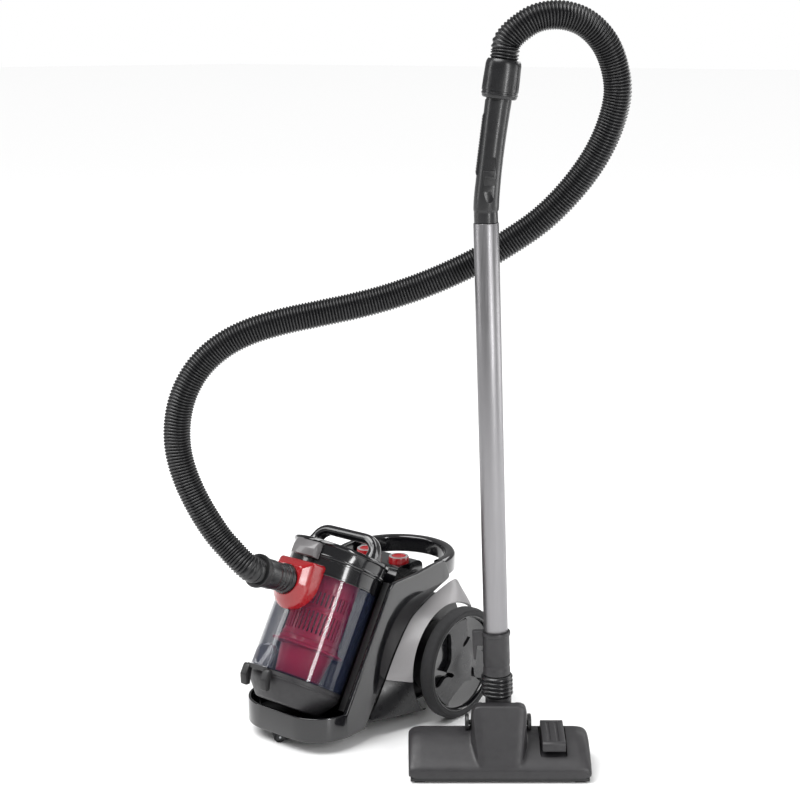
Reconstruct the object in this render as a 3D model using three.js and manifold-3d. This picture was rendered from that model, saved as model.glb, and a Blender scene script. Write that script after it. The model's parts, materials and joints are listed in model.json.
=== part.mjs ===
// Canister vacuum cleaner with a bagless cyclone bin, hose, wand and floor head.
// Millimetres, +Z up. The canister points along -Y; its origin is the middle of the
// box round everything except the hose, on the floor.
import * as THREE from 'three';
import { mergeVertices } from 'three/addons/utils/BufferGeometryUtils.js';
import Module from 'manifold-3d';

const wasm = await Module();
wasm.setup();

// ---------------------------------------------------------------- driving sizes
const GAP = 0.3; // clearance between pieces that touch
const RUN = 0.5; // clearance round a piece that turns or slides
const WALL = 3;
const ORIGIN = { x: 143.3, y: -72.3 }; // canister point that becomes x = y = 0

// dust bin, along its own tilted axis
const BIN_TILT = THREE.MathUtils.degToRad(31.6);
const BIN_R = 73;
const BIN_SIDES = 32;
const BIN_WALL = 2.6;
const FLAP_FOOT_R = BIN_R - 23;
const FLAP_HEIGHT = 42;
const FLAP_ROOM = 5; // round the bin in its cradle, for the flap to swing in
const CLEAR_TOP = 198;
const COLLAR_TOP = 224;
const COVER_TOP = 248;
const BRIM_R = BIN_R + 4;
const SHROUD_R = 44;
const SHROUD_BASE = 102;
const ARCH_SPAN = 120;
const ARCH_RISE = 37;
const ARCH_T = 2; // how far the carry handle stands behind the bin's axis
const LATCH_X = -8;
const RELEASE_TRAVEL = 3;

// canister body: the arms and the cradle clear the bin
const PAN_BOTTOM = 26;
const BIN_BASE = { y: -219, z: PAN_BOTTOM + WALL + 1.8 + FLAP_FOOT_R * Math.sin(BIN_TILT) };
const ARM_THICK = 7;
const BODY_HALF = BIN_R + 12 + ARM_THICK;
const LIP_FRONT = -242;
const LIP_RADIUS = 60;
const LIP_WALL = 4;
const LIP_BOTTOM = 20;
const LIP_TOP = 58;
const ARM_TOP = 236;
const ARM_FRONT_T = 28;
const ARM_FOOT = -143;
const CRADLE_BACK_T = BIN_R + 11;
const LOOP_CENTRE = 46;
const LOOP_WIDTH = 16;
const LOOP_HEIGHT = 28;
const LOOP_TOP = ARM_TOP + 4;
const BODY_REAR = 112;
const HOUSING_TOP = 178;
const HOUSING_BACK = 108;
const VENT = { half: 48, low: 50, high: 118 };

// what the housing holds
const AIR_HOLE_R = 16;
const AIR_HOLE_S = COLLAR_TOP - 34;
const MOTOR = { y: -8, z: 96, half: 40 };
const SHAFT_R = 4;
const REEL = { x: 50, y: 64, z: 92 };
const OUTLET = { x: 62, z: 60, r: 8 };
const BLOCK_HALF = 52;
const BLOCK_GAP = 2.5; // from the bin's brim to the button block
const BUTTON_X = 33;
const BUTTON_BACK = 23.5; // from the block's front edge to the buttons
const BUTTON_R = 16;
const STEM_R = 6.4;

// road wheels and caster
const TRACK_HALF = 150;
const WHEEL_R = 88;
const WHEEL_WIDTH = 22;
const TYRE_DEPTH = 12;
const AXLE_Y = 28;
const AXLE_R = 5;
const WHEEL_SIDES = 32;
const CASTER = { x: 0, y: -212 };
const CASTER_STEM_R = 5;
const ROLLER_R = 9.5;
const ROLLER_WIDTH = 12;
const CASTER_TRAIL = 16;

// suction port, plug and hose
const PORT_RISE = THREE.MathUtils.degToRad(25);
const PORT_S = 172.5;
const PORT_REACH = 30.2; // from the bin wall to the port's mouth
const PORT_HALF = 24.5;
const PORT_FLARE = 10;
const PORT_DROP = 8;
const PORT_DEPTH = 34;
const BORE_R = 19;
const PLUG_WALL = 2.5;
const PLUG_REACH = 24;
const PLUG_LENGTH = 54;
const HOSE_R = 19.5;
const HOSE_WALL = 3;

// wand, handle and floor head
const WAND = { x: TRACK_HALF + 146.5, y: -84 };
const WAND_YAW = THREE.MathUtils.degToRad(39.4);
const WAND_LEAN = THREE.MathUtils.degToRad(2);
const PIVOT = { y: 8, z: 64 };
const PIN_R = 4;
const PIN_CAP_R = 13;
const PIN_CAP = [43, 48]; // the caps' inner and outer faces, from the middle
const TUBE_R = 17.5;
const TUBE_WALL = 1.2;
const TUBE_FROM = 104;
const TUBE_TO = 730;
const SOCKET_FOOT = 76;
const SOCKET_MOUTH = 141;
const SOCKET_R = TUBE_R + 2;
const COLLAR_FOOT = 44;
const HANDLE_TOP = TUBE_TO + 167;
const SLIDER = [TUBE_TO + 52, TUBE_TO + 72]; // the slider's ends along the handle when shut
const SLIDER_X = 5;
const SLIDER_BED = 16.6; // how far the slider's bed lies from the handle's axis
const CUFF_LENGTH = 52;
const CUFF_TIP = 0.16;
const HEAD_HALF = 131;
const HEAD_FRONT = -63;
const HEAD_REAR = 44;
const HEAD_FOOT = 8;
const BRUSH_TRAVEL = 5;
const SKIRT = 21;
const WING_TOP = 56;
const HUMP_TOP = 105;
const HUMP_HALF = 39;
const SLOT_HALF = 25;
const PEDAL = { x: 77.5, half: 16.5 };
const HEAD_ROLLER = { x: 80, r: 8, half: 7, back: 13.5 };

// ---------------------------------------------------------------- finishes
function finish(color, roughness, metalness = 0) {
  return new THREE.MeshStandardMaterial({ color, roughness, metalness });
}

const gloss = finish(0x1d1c20, 0.22);
const black = finish(0x17171a, 0.5);
const matt = finish(0x3b3a3d, 0.7);
const silver = finish(0x9b999a, 0.35, 0.4);
const red = finish(0xb01020, 0.3);
const rubber = finish(0x202022, 0.85);
const steel = finish(0xb4b6b8, 0.3, 1);
const chrome = finish(0xa9abae, 0.32, 0.9);
const smoke = finish(0x5d6674, 0.1);
smoke.transparent = true;
smoke.opacity = 0.45;

// ---------------------------------------------------------------- shape helpers
function toManifold(geometry) {
  const bare = geometry.clone();
  for (const name of Object.keys(bare.attributes)) {
    if (name !== 'position') bare.deleteAttribute(name);
  }
  const merged = mergeVertices(bare, 1e-4);
  return new wasm.Manifold(new wasm.Mesh({
    numProp: 3,
    vertProperties: new Float32Array(merged.attributes.position.array),
    triVerts: new Uint32Array(merged.index.array),
  }));
}

function toGeometry(manifold) {
  const mesh = manifold.getMesh();
  const geometry = new THREE.BufferGeometry();
  geometry.setAttribute('position', new THREE.BufferAttribute(mesh.vertProperties, 3));
  geometry.setIndex(new THREE.BufferAttribute(mesh.triVerts, 1));
  return geometry;
}

function join(first, ...others) {
  return toGeometry(others.reduce((sum, g) => sum.add(toManifold(g)), toManifold(first)));
}

function cut(first, ...others) {
  return toGeometry(others.reduce((rest, g) => rest.subtract(toManifold(g)), toManifold(first)));
}

function common(first, second) {
  return toGeometry(toManifold(first).intersect(toManifold(second)));
}

function box(x0, x1, y0, y1, z0, z1) {
  const geometry = new THREE.BoxGeometry(x1 - x0, y1 - y0, z1 - z0);
  return geometry.translate((x0 + x1) / 2, (y0 + y1) / 2, (z0 + z1) / 2);
}

// a solid of revolution about +Z from [radius, height] pairs
function turned(profile, sides = 32) {
  const points = profile.map(([r, z]) => new THREE.Vector2(r, z));
  return new THREE.LatheGeometry(points, sides).rotateX(Math.PI / 2);
}

function rod(radius, z0, z1, sides = 24) {
  return turned([[0, z0], [radius, z0], [radius, z1], [0, z1]], sides);
}

function tubeRing(outer, inner, z0, z1, sides = 32) {
  return turned([[inner, z0], [outer, z0], [outer, z1], [inner, z1], [inner, z0]], sides);
}

function alongX(geometry) {
  return geometry.rotateY(Math.PI / 2);
}

function outline(points) {
  return new THREE.Shape(points.map(([x, y]) => new THREE.Vector2(x, y)));
}

// a flat outline in x and y, raised from z0 to z1
function raised(shape, z0, z1, curveSegments = 8) {
  const options = { depth: z1 - z0, bevelEnabled: false, curveSegments };
  return new THREE.ExtrudeGeometry(shape, options).translate(0, 0, z0);
}

// a side view in y and z, given width from x0 to x1
function sideways(points, x0, x1) {
  const turn = new THREE.Matrix4().set(0, 0, 1, 0, 1, 0, 0, 0, 0, 1, 0, 0, 0, 0, 0, 1);
  return raised(outline(points), x0, x1).applyMatrix4(turn);
}

// a closed skin over rings of points, each ring having the same number of points
function lofted(rings) {
  const count = rings[0].length;
  const positions = [];
  const triangles = [];
  rings.forEach((ring) => ring.forEach((p) => positions.push(p[0], p[1], p[2])));
  for (let i = 0; i + 1 < rings.length; i += 1) {
    for (let j = 0; j < count; j += 1) {
      const k = (j + 1) % count;
      const a = i * count;
      const b = a + count;
      triangles.push(a + j, a + k, b + k, a + j, b + k, b + j);
    }
  }
  [0, rings.length - 1].forEach((i) => {
    const middle = positions.length / 3;
    for (let axis = 0; axis < 3; axis += 1) {
      positions.push(rings[i].reduce((sum, p) => sum + p[axis], 0) / count);
    }
    for (let j = 0; j < count; j += 1) {
      const k = (j + 1) % count;
      const edge = [i * count + j, i * count + k];
      if (i === 0) edge.reverse();
      triangles.push(edge[0], edge[1], middle);
    }
  });
  const geometry = new THREE.BufferGeometry();
  geometry.setAttribute('position', new THREE.BufferAttribute(new Float32Array(positions), 3));
  geometry.setIndex(triangles);
  if (toManifold(geometry).volume() > 0) return geometry;
  const flipped = [];
  for (let i = 0; i < triangles.length; i += 3) {
    flipped.push(triangles[i], triangles[i + 2], triangles[i + 1]);
  }
  return geometry.setIndex(flipped);
}

// an oval section swept through stations [x, y, z, halfWidth, halfDepth], axis mostly +Z
function sweptOval(stations, sides = 20) {
  return lofted(stations.map(([x, y, z, a, b, tip = 0]) => Array.from({ length: sides }, (_, i) => {
    const turn = (i / sides) * Math.PI * 2;
    const across = a * Math.cos(turn);
    return [x + across * Math.cos(tip), y + b * Math.sin(turn), z - across * Math.sin(tip)];
  })));
}

function add(parent, name, geometry, material) {
  const mesh = new THREE.Mesh(geometry, material);
  mesh.name = name;
  parent.add(mesh);
  return mesh;
}

function mirrored(geometry) {
  const copy = geometry.index ? geometry.toNonIndexed() : geometry.clone();
  const p = copy.attributes.position;
  const turned3 = new Float32Array(p.array.length);
  for (let i = 0; i < p.count; i += 3) {
    [i, i + 2, i + 1].forEach((from, slot) => {
      turned3.set([-p.getX(from), p.getY(from), p.getZ(from)], (i + slot) * 3);
    });
  }
  const result = new THREE.BufferGeometry();
  result.setAttribute('position', new THREE.BufferAttribute(turned3, 3));
  return result;
}

// ---------------------------------------------------------------- canister shell
function planOutline(half, front, radius, rear) {
  const shape = new THREE.Shape();
  shape.moveTo(-half, rear);
  shape.lineTo(-half, front + radius);
  shape.absarc(-half + radius, front + radius, radius, Math.PI, Math.PI * 1.5, false);
  shape.absarc(half - radius, front + radius, radius, Math.PI * 1.5, Math.PI * 2, false);
  shape.lineTo(half, rear);
  shape.closePath();
  return shape;
}

// canister point at height s along the bin axis and distance t behind it
function fromBin(s, t) {
  return [
    BIN_BASE.y + s * Math.sin(BIN_TILT) + t * Math.cos(BIN_TILT),
    BIN_BASE.z + s * Math.cos(BIN_TILT) - t * Math.sin(BIN_TILT),
  ];
}

// t of a canister height z, on the line of constant t
function onBackLine(t, z) {
  const s = (z - BIN_BASE.z + t * Math.sin(BIN_TILT)) / Math.cos(BIN_TILT);
  return fromBin(s, t);
}

// rear edge of the side arm, from the loop down to the floor pan
const ARM_REAR = [
  [66, 208], [34, 198], [-4, 184], [-38, 165], [-74, 123], [-98, 85], [-131, 40], [ARM_FOOT, LIP_BOTTOM],
];

function bodyFrame() {
  const outer = planOutline(BODY_HALF, LIP_FRONT, LIP_RADIUS, ARM_FOOT);
  const inside = BODY_HALF - LIP_WALL;
  const inner = planOutline(inside, LIP_FRONT + LIP_WALL, LIP_RADIUS - LIP_WALL, ARM_FOOT + WALL);
  const lip = cut(raised(outer, LIP_BOTTOM, LIP_TOP, 8), raised(inner, 0, LIP_TOP + 10, 8));
  const side = [
    onBackLine(ARM_FRONT_T, LIP_TOP - 8),
    onBackLine(ARM_FRONT_T, ARM_TOP - 3),
    [-22, ARM_TOP - 2],
    [20, ARM_TOP + 3],
    [LOOP_CENTRE + 6, LOOP_TOP],
    ...ARM_REAR,
    [onBackLine(ARM_FRONT_T, LIP_TOP)[0], LIP_BOTTOM],
  ];
  const right = sideways(side, BODY_HALF - ARM_THICK, BODY_HALF);
  const left = sideways(side, -BODY_HALF, -BODY_HALF + ARM_THICK);
  const ring = tubeRing(BODY_HALF, BODY_HALF - LOOP_WIDTH, LOOP_TOP - LOOP_HEIGHT, LOOP_TOP, 40);
  const rearHalf = box(-BODY_HALF - 5, BODY_HALF + 5, -4, BODY_HALF + 5, 0, 400);
  const loop = common(ring, rearHalf).translate(0, LOOP_CENTRE, 0);
  return join(lip, right, left, loop);
}

function basePan() {
  const half = BODY_HALF - LIP_WALL - GAP;
  const plan = planOutline(half, LIP_FRONT + LIP_WALL + GAP, LIP_RADIUS - LIP_WALL, BODY_REAR);
  let pan = raised(plan, PAN_BOTTOM, PAN_BOTTOM + WALL, 8);
  const notch = box(BODY_HALF - ARM_THICK - GAP, BODY_HALF, -200, ARM_FOOT + 23, 0, LIP_TOP);
  pan = cut(pan, notch, mirrored(notch));
  return cut(pan, rod(CASTER_STEM_R + RUN, 0, 60, 20).translate(CASTER.x, CASTER.y, 0));
}

function cradle() {
  const s0 = 20;
  const half = BODY_HALF - ARM_THICK - 1.5;
  const block = box(-half, half, ARM_FRONT_T + 2, CRADLE_BACK_T, s0, COLLAR_TOP);
  const recess = rod(BIN_R + FLAP_ROOM, s0 - 5, COLLAR_TOP + 5, BIN_SIDES);
  const airHole = rod(AIR_HOLE_R, 0, 40, 24).rotateX(-Math.PI / 2);
  airHole.translate(0, CRADLE_BACK_T - 24, AIR_HOLE_S);
  return cut(block, recess, airHole);
}

function motorHousing() {
  const half = BODY_HALF - ARM_THICK - 2;
  const floor = PAN_BOTTOM + WALL + GAP;
  const frontT = CRADLE_BACK_T + GAP;
  const side = [
    onBackLine(frontT, floor), onBackLine(frontT, HOUSING_TOP), [60, HOUSING_TOP],
    [88, 164], [HOUSING_BACK - 4, 132], [HOUSING_BACK, 96], [HOUSING_BACK, floor],
  ];
  const inside = [
    onBackLine(frontT + WALL, floor - 5), onBackLine(frontT + WALL, HOUSING_TOP - WALL),
    [59, HOUSING_TOP - WALL], [86, 161], [HOUSING_BACK - 7, 131], [HOUSING_BACK - WALL, 96],
    [HOUSING_BACK - WALL, floor - 5],
  ];
  const shell = cut(sideways(side, -half, half), sideways(inside, -half + WALL, half - WALL));
  const vent = box(-VENT.half, VENT.half, HOUSING_BACK - 18, HOUSING_BACK + 12, VENT.low, VENT.high);
  const intake = rod(AIR_HOLE_R, 0, 60, 24).rotateX(-Math.PI / 2).rotateX(-BIN_TILT);
  const [y, z] = fromBin(AIR_HOLE_S, CRADLE_BACK_T - 10);
  const outlet = rod(OUTLET.r, 0, 60, 20).rotateX(-Math.PI / 2);
  outlet.translate(OUTLET.x, HOUSING_BACK - 28, OUTLET.z);
  const stems = stemHoles();
  return cut(shell, vent, intake.translate(0, y, z), outlet, ...stems);
}

function blockFront() {
  return onBackLine(BRIM_R + BLOCK_GAP, ARM_TOP)[0];
}

function buttonY() {
  return blockFront() + BUTTON_BACK;
}

function stemHoles() {
  return [BUTTON_X, -BUTTON_X].map((x) => rod(STEM_R + RUN, 150, 300, 16).translate(x, buttonY(), 0));
}

function buttonBlock() {
  const base = HOUSING_TOP + GAP;
  const behindCradle = CRADLE_BACK_T + 2 * GAP;
  const behindBin = BRIM_R + BLOCK_GAP;
  const rear = buttonY() + 26;
  const side = [
    onBackLine(behindCradle, base), fromBin(COLLAR_TOP + 2 * GAP, behindCradle),
    fromBin(COLLAR_TOP + 2 * GAP, behindBin), [blockFront(), ARM_TOP],
    [rear, ARM_TOP], [rear + 10, ARM_TOP - 6], [rear + 12, base],
  ];
  const block = sideways(side, -BLOCK_HALF, BLOCK_HALF);
  const well = (x) => rod(BUTTON_R + RUN, ARM_TOP - 22, ARM_TOP + 60, 24).translate(x, buttonY(), 0);
  return cut(block, well(BUTTON_X), well(-BUTTON_X), ...stemHoles());
}

// button: a cap on a stem that reaches the switch
function button(x) {
  const cap = rod(BUTTON_R, ARM_TOP - 12, ARM_TOP + 10, 24);
  const stem = rod(STEM_R, HOUSING_TOP - 6, ARM_TOP - 12, 16);
  return join(cap, stem).translate(x, buttonY(), 0);
}

function exhaustGrille() {
  const half = VENT.half - RUN;
  const plate = box(-half, half, HOUSING_BACK - WALL, HOUSING_BACK + 1, VENT.low + RUN, VENT.high - RUN);
  const slot = box(5.5 - half, half - 5.5, HOUSING_BACK - 18, HOUSING_BACK + 12, VENT.low + 6, VENT.low + 10);
  const slots = Array.from({ length: 7 }, (_, i) => slot.clone().translate(0, 0, i * 8.4));
  return cut(plate, ...slots);
}

function exhaustFilter() {
  const half = VENT.half - 2;
  return box(-half, half, HOUSING_BACK - 18, HOUSING_BACK - WALL - RUN, VENT.low + 2, VENT.high - 2);
}

// collar that the mains cord would run out through
function cordOutlet() {
  const r = OUTLET.r - 0.4;
  const profile = [[4, 0], [r + 4.4, 0], [r + 4.4, 3], [r, 3], [r, 10], [4, 10], [4, 0]];
  return turned(profile, 20).rotateX(Math.PI / 2).translate(OUTLET.x, HOUSING_BACK + WALL + 0.4, OUTLET.z);
}

// ---------------------------------------------------------------- side fenders
const FENDER_A = [[92, 186], [76, 202], [36, 195], [-4, 181], [-38, 162], [-72, 121], [-96, 84],
  [-118, 52], [-134, 30], [-120, 27]];
const FENDER_B = [-38, -20, 2, 24, 46, 70, 97, 116, 132, 140];
const ARCH_R = WHEEL_R + 4;
const WEB_R = WHEEL_R - PAN_BOTTOM - WALL - 2;
const ARCH_X = TRACK_HALF - WHEEL_WIDTH - 8;

function fenderStation(i) {
  const [ya, za] = FENDER_A[i];
  const beta = THREE.MathUtils.degToRad(FENDER_B[i]);
  const yb = AXLE_Y - ARCH_R * Math.sin(beta);
  const zb = Math.max(WHEEL_R + ARCH_R * Math.cos(beta), PAN_BOTTOM - 2);
  const x0 = BODY_HALF + GAP + 0.2;
  const length = Math.hypot(yb - ya, zb - za);
  const at = (x, share, extra = 0) => {
    const along = share + extra / length;
    return [x, ya + (yb - ya) * along, za + (zb - za) * along];
  };
  const middle = x0 + 0.62 * (ARCH_X - x0);
  return [at(x0, 0), at(middle, 0.5), at(ARCH_X, 1), at(ARCH_X - WALL, 1, WALL),
    at(middle - WALL, 0.5, WALL), at(x0, 0, WALL + 1)];
}

// fender between two stations; its lower end stops short of the next piece by a gap
function fender(first, last) {
  const rings = [];
  for (let i = first; i <= last; i += 1) rings.push(fenderStation(i));
  const next = fenderStation(last - 1);
  rings.push(rings.pop().map((p, i) => p.map((value, axis) => value + (next[i][axis] - value) * 0.02)));
  return lofted(rings);
}

// cover between the arm and the wheel, carrying the boss of the stub axle
function sideCover() {
  const x0 = BODY_HALF - LIP_WALL + GAP;
  const web = alongX(rod(WEB_R, 0, 4, 32)).translate(x0, AXLE_Y, WHEEL_R);
  const boss = alongX(rod(17, 0, TRACK_HALF - WHEEL_WIDTH - 1 - x0, 24)).translate(x0, AXLE_Y, WHEEL_R);
  const bore = alongX(rod(AXLE_R + 0.2, 60, 200, 20)).translate(0, AXLE_Y, WHEEL_R);
  const arm = sideways([[-143, 0], [-200, 0], [-200, 260], [80, 260], ...ARM_REAR], x0 - 1, BODY_HALF + GAP);
  return cut(join(web, boss), arm, bore);
}

// ---------------------------------------------------------------- wheels
function tyre() {
  const inner = WHEEL_R - TYRE_DEPTH;
  const w = WHEEL_WIDTH;
  const profile = [[inner, 0], [WHEEL_R - 3, 0], [WHEEL_R, 3], [WHEEL_R, w - 3], [WHEEL_R - 3, w],
    [inner, w], [inner, 0]];
  return alongX(turned(profile, WHEEL_SIDES));
}

function wheelDisc() {
  const r = WHEEL_R - TYRE_DEPTH - GAP;
  const w = WHEEL_WIDTH;
  const bore = AXLE_R + RUN;
  const profile = [[bore, 0], [18, 0], [18, w - 10], [r - 5, w - 8], [r, 2], [r, w - 1],
    [20, w - 6], [16, w - 1], [bore, w - 1], [bore, 0]];
  return alongX(turned(profile, WHEEL_SIDES));
}

function stubAxle() {
  return alongX(rod(AXLE_R, BODY_HALF - LIP_WALL + GAP, TRACK_HALF - 2, 20)).translate(0, AXLE_Y, WHEEL_R);
}

function casterFork() {
  const plateTop = PAN_BOTTOM - GAP;
  const plate = rod(15, plateTop - 4, plateTop, 20);
  const stem = rod(CASTER_STEM_R, plateTop - 1, PAN_BOTTOM + WALL + 5, 16);
  const clip = rod(8, PAN_BOTTOM + WALL + GAP, PAN_BOTTOM + WALL + 3, 16);
  const cheek = (y) => box(-CASTER_TRAIL - 5, 2, y, y + 2, ROLLER_R - 4, plateTop - 2);
  const side = ROLLER_WIDTH / 2 + RUN;
  const body = join(plate, stem, clip, cheek(side), cheek(-side - 2));
  const atRoller = (geometry) => geometry.rotateX(Math.PI / 2).translate(-CASTER_TRAIL, 0, ROLLER_R);
  const room = atRoller(rod(ROLLER_R + RUN, -side, side, 16));
  const pinHole = atRoller(rod(1.9, -20, 20, 10));
  return cut(body, room, pinHole);
}

function casterRoller() {
  const w = ROLLER_WIDTH / 2;
  const profile = [[2, -w], [ROLLER_R - 1, -w], [ROLLER_R, -w + 1], [ROLLER_R, w - 1], [ROLLER_R - 1, w],
    [2, w], [2, -w]];
  return turned(profile, 24).rotateX(Math.PI / 2).translate(-CASTER_TRAIL, 0, ROLLER_R);
}

function casterPin() {
  const half = ROLLER_WIDTH / 2 + RUN + 2;
  return rod(1.6, -half, half, 10).rotateX(Math.PI / 2).translate(-CASTER_TRAIL, 0, ROLLER_R);
}

// ---------------------------------------------------------------- motor and reel
function motorCase() {
  const bore = SHAFT_R + 2;
  const profile = [[bore, 0], [44, 0], [44, 62], [41, 62], [41, WALL], [bore, WALL], [bore, 0]];
  return alongX(turned(profile, 24)).translate(-MOTOR.half, 0, 0);
}

function motorShaft() {
  const r = SHAFT_R;
  const profile = [[0, -8], [r, -8], [r, 8], [30, 8], [30, 50], [r, 50], [r, 74], [0, 74]];
  return alongX(turned(profile, 20)).translate(-MOTOR.half, 0, 0);
}

function fanImpeller() {
  const bore = SHAFT_R + GAP;
  const disc = turned([[bore, 0], [36, 0], [36, 2.5], [9, 2.5], [9, 12], [bore, 12], [bore, 0]], 24);
  const blade = box(7, 35, -0.8, 0.8, 1, 11);
  const blades = Array.from({ length: 6 }, (_, i) => blade.clone().rotateZ((i * Math.PI) / 3 + 0.1));
  return alongX(join(disc, ...blades)).translate(24, 0, 0);
}

function cordReel() {
  const width = 26;
  const profile = [[6, 0], [37, 0], [37, 2], [20, 2], [20, width - 2], [37, width - 2], [37, width],
    [6, width], [6, 0]];
  return alongX(turned(profile, 24));
}

// ---------------------------------------------------------------- dust bin
function portMouth() {
  return fromBin(PORT_S, -BIN_R - PORT_REACH);
}

function portFrame(parent) {
  const frame = new THREE.Group();
  frame.position.set(0, ...portMouth());
  frame.rotation.x = Math.PI / 2 - PORT_RISE;
  parent.add(frame);
  return frame;
}

// D-shaped ring of the port at distance z from its mouth, grown all round and dropped below
function portRing(z, grow, drop) {
  const r = PORT_HALF + grow;
  const top = PORT_HALF - 1 + grow;
  const arc = Array.from({ length: 17 }, (_, i) => {
    const turn = Math.PI + (i / 16) * Math.PI;
    return [r * Math.cos(turn), (r + drop) * Math.sin(turn), z];
  });
  return [...arc, [r, top, z], [-r, top, z]];
}

// the red port, seen along its axis: +z is out of the mouth, the flat side is up
function portBody(extra = 0) {
  const flare = PORT_FLARE + extra;
  const back = portRing(-PORT_DEPTH - 14, flare, PORT_DROP);
  return lofted([back, portRing(-14, flare, PORT_DROP), portRing(0, extra, 0)]);
}

function intoPort(geometry, fromPort) {
  const group = new THREE.Matrix4().makeRotationX(Math.PI / 2 - PORT_RISE);
  group.setPosition(0, ...portMouth());
  const bin = new THREE.Matrix4().makeRotationX(-BIN_TILT);
  bin.setPosition(0, BIN_BASE.y, BIN_BASE.z);
  const matrix = bin.clone().invert().multiply(group);
  return geometry.clone().applyMatrix4(fromPort ? matrix : matrix.invert());
}

function binCanister() {
  const shell = tubeRing(BIN_R, BIN_R - BIN_WALL, FLAP_HEIGHT + GAP, CLEAR_TOP, BIN_SIDES);
  return cut(shell, intoPort(rod(BORE_R + 1, -120, 20, 28), true), frontOnly(portBody(GAP)));
}

// the part of the port that lies outside the bin wall, in the bin's own frame
function frontOnly(port) {
  return cut(intoPort(port, true), rod(BIN_R + GAP, -50, 400, BIN_SIDES));
}

function binCollar() {
  const ring = tubeRing(BIN_R + 1.5, BIN_R - BIN_WALL, CLEAR_TOP + GAP, COLLAR_TOP, BIN_SIDES);
  return cut(ring, frontOnly(portBody(GAP)), intoPort(rod(BORE_R + 1, -120, 20, 28), true));
}

function inletPort() {
  const bore = rod(BORE_R + 0.4, -120, 20, 28);
  return cut(frontOnly(portBody()), intoPort(bore, true));
}

function latchPlate() {
  const half = 17;
  const foot = FLAP_HEIGHT + 1;
  const shape = new THREE.Shape();
  shape.moveTo(-half, foot);
  shape.lineTo(half, foot);
  shape.lineTo(half, foot + half);
  shape.absarc(0, foot + half, half, 0, Math.PI, false);
  shape.closePath();
  const plate = raised(shape, 0, 22, 10).rotateX(Math.PI / 2).translate(LATCH_X, -BIN_R + 14, 0);
  return cut(plate, rod(BIN_R + GAP, 0, 120, BIN_SIDES));
}

function binFlap() {
  const top = FLAP_HEIGHT;
  const profile = [[0, 0], [FLAP_FOOT_R - 3, 0], [FLAP_FOOT_R + 1, 3], [BIN_R, 30], [BIN_R, top],
    [BIN_R - 4, top], [BIN_R - 4, 31], [FLAP_FOOT_R - 3, 6], [0, 4]];
  return turned(profile, BIN_SIDES);
}

// spring clamp that hooks the flap to the bin: a cross bar with two prongs
function flapLatch() {
  const bar = box(LATCH_X - 20, LATCH_X + 20, -BIN_R - 12, -BIN_R - 7, FLAP_HEIGHT - 7, FLAP_HEIGHT - 1);
  const ring = (x, half, front, low, back, high) => [[x - half, front, low], [x + half, front, low],
    [x + half, back, high], [x - half, back, high]].map(([across, y, z]) => [across, y - BIN_R, z]);
  const prong = (x) => lofted([
    ring(x, 6, -14, 40, -6.5, 40), ring(x, 6, -14, 20, -1, 22), ring(x, 5, -4, 8, 3, 12),
  ]);
  return cut(join(bar, prong(LATCH_X - 20), prong(LATCH_X + 20)), rod(BIN_R + RUN, -20, 100, BIN_SIDES));
}

function binCover() {
  const z0 = COLLAR_TOP + GAP;
  const profile = [[0, COVER_TOP - 4], [BIN_R - 4, COVER_TOP - 4], [BIN_R - 4, z0], [BIN_R + 1, z0],
    [BIN_R + 2, COVER_TOP - 8], [BRIM_R, COVER_TOP - 6], [BRIM_R, COVER_TOP], [0, COVER_TOP]];
  const cover = turned(profile, BIN_SIDES);
  const notch = box(-27, 27, -BRIM_R - 10, -BIN_R + 2, z0 - 5, COVER_TOP - 14);
  return cut(cover, notch);
}

function releaseButton() {
  const y = -BIN_R + 1.5;
  const z0 = COLLAR_TOP - 10 + RELEASE_TRAVEL;
  const z1 = COLLAR_TOP + 10;
  const side = [[y, z0], [y - 17, z0], [y - 17, z1 - 13], [y - 6, z1], [y, z1]];
  const block = sideways(side, -26, 26);
  return cut(block, rod(BIN_R + 1.8 + RUN, 0, 300, BIN_SIDES), frontOnly(portBody(RUN)));
}

function binArch() {
  const half = ARCH_SPAN / 2;
  const foot = COVER_TOP + GAP;
  const r = 24;
  const path = new THREE.CurvePath();
  const p = (x, z) => new THREE.Vector3(x, ARCH_T, z);
  const top = foot + ARCH_RISE - 5;
  path.add(new THREE.LineCurve3(p(-half, foot), p(-half, top - r)));
  path.add(new THREE.QuadraticBezierCurve3(p(-half, top - r), p(-half, top), p(-half + r, top)));
  path.add(new THREE.LineCurve3(p(-half + r, top), p(half - r, top)));
  path.add(new THREE.QuadraticBezierCurve3(p(half - r, top), p(half, top), p(half, top - r)));
  path.add(new THREE.LineCurve3(p(half, top - r), p(half, foot)));
  const section = new THREE.Shape();
  section.absellipse(0, 0, 5, 9, 0, Math.PI * 2, false, 0);
  return new THREE.ExtrudeGeometry(section, { steps: 22, extrudePath: path, curveSegments: 5 });
}

function shroudTube() {
  const z0 = SHROUD_BASE;
  const tube = tubeRing(SHROUD_R, SHROUD_R - 2.5, z0, CLEAR_TOP + 20, 28);
  const slot = box(0, SHROUD_R + 5, -1.6, 1.6, z0 + 12, CLEAR_TOP - 24);
  const slots = Array.from({ length: 10 }, (_, i) => slot.clone().rotateZ((i * Math.PI) / 5 + 0.2));
  return cut(tube, ...slots);
}

function cycloneCone() {
  const top = SHROUD_BASE - GAP;
  const r = SHROUD_R;
  const foot = FLAP_HEIGHT + 4;
  const profile = [[r - 12, foot], [r - 10, foot], [r - 3, top - 12], [r + 12, top - 10], [r + 12, top - 8],
    [r + 2, top], [r - 8, top], [r - 12, foot]];
  return turned(profile, 28);
}

function filterCartridge() {
  return tubeRing(SHROUD_R - 6, 14, 120, CLEAR_TOP + 20, 24);
}

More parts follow.
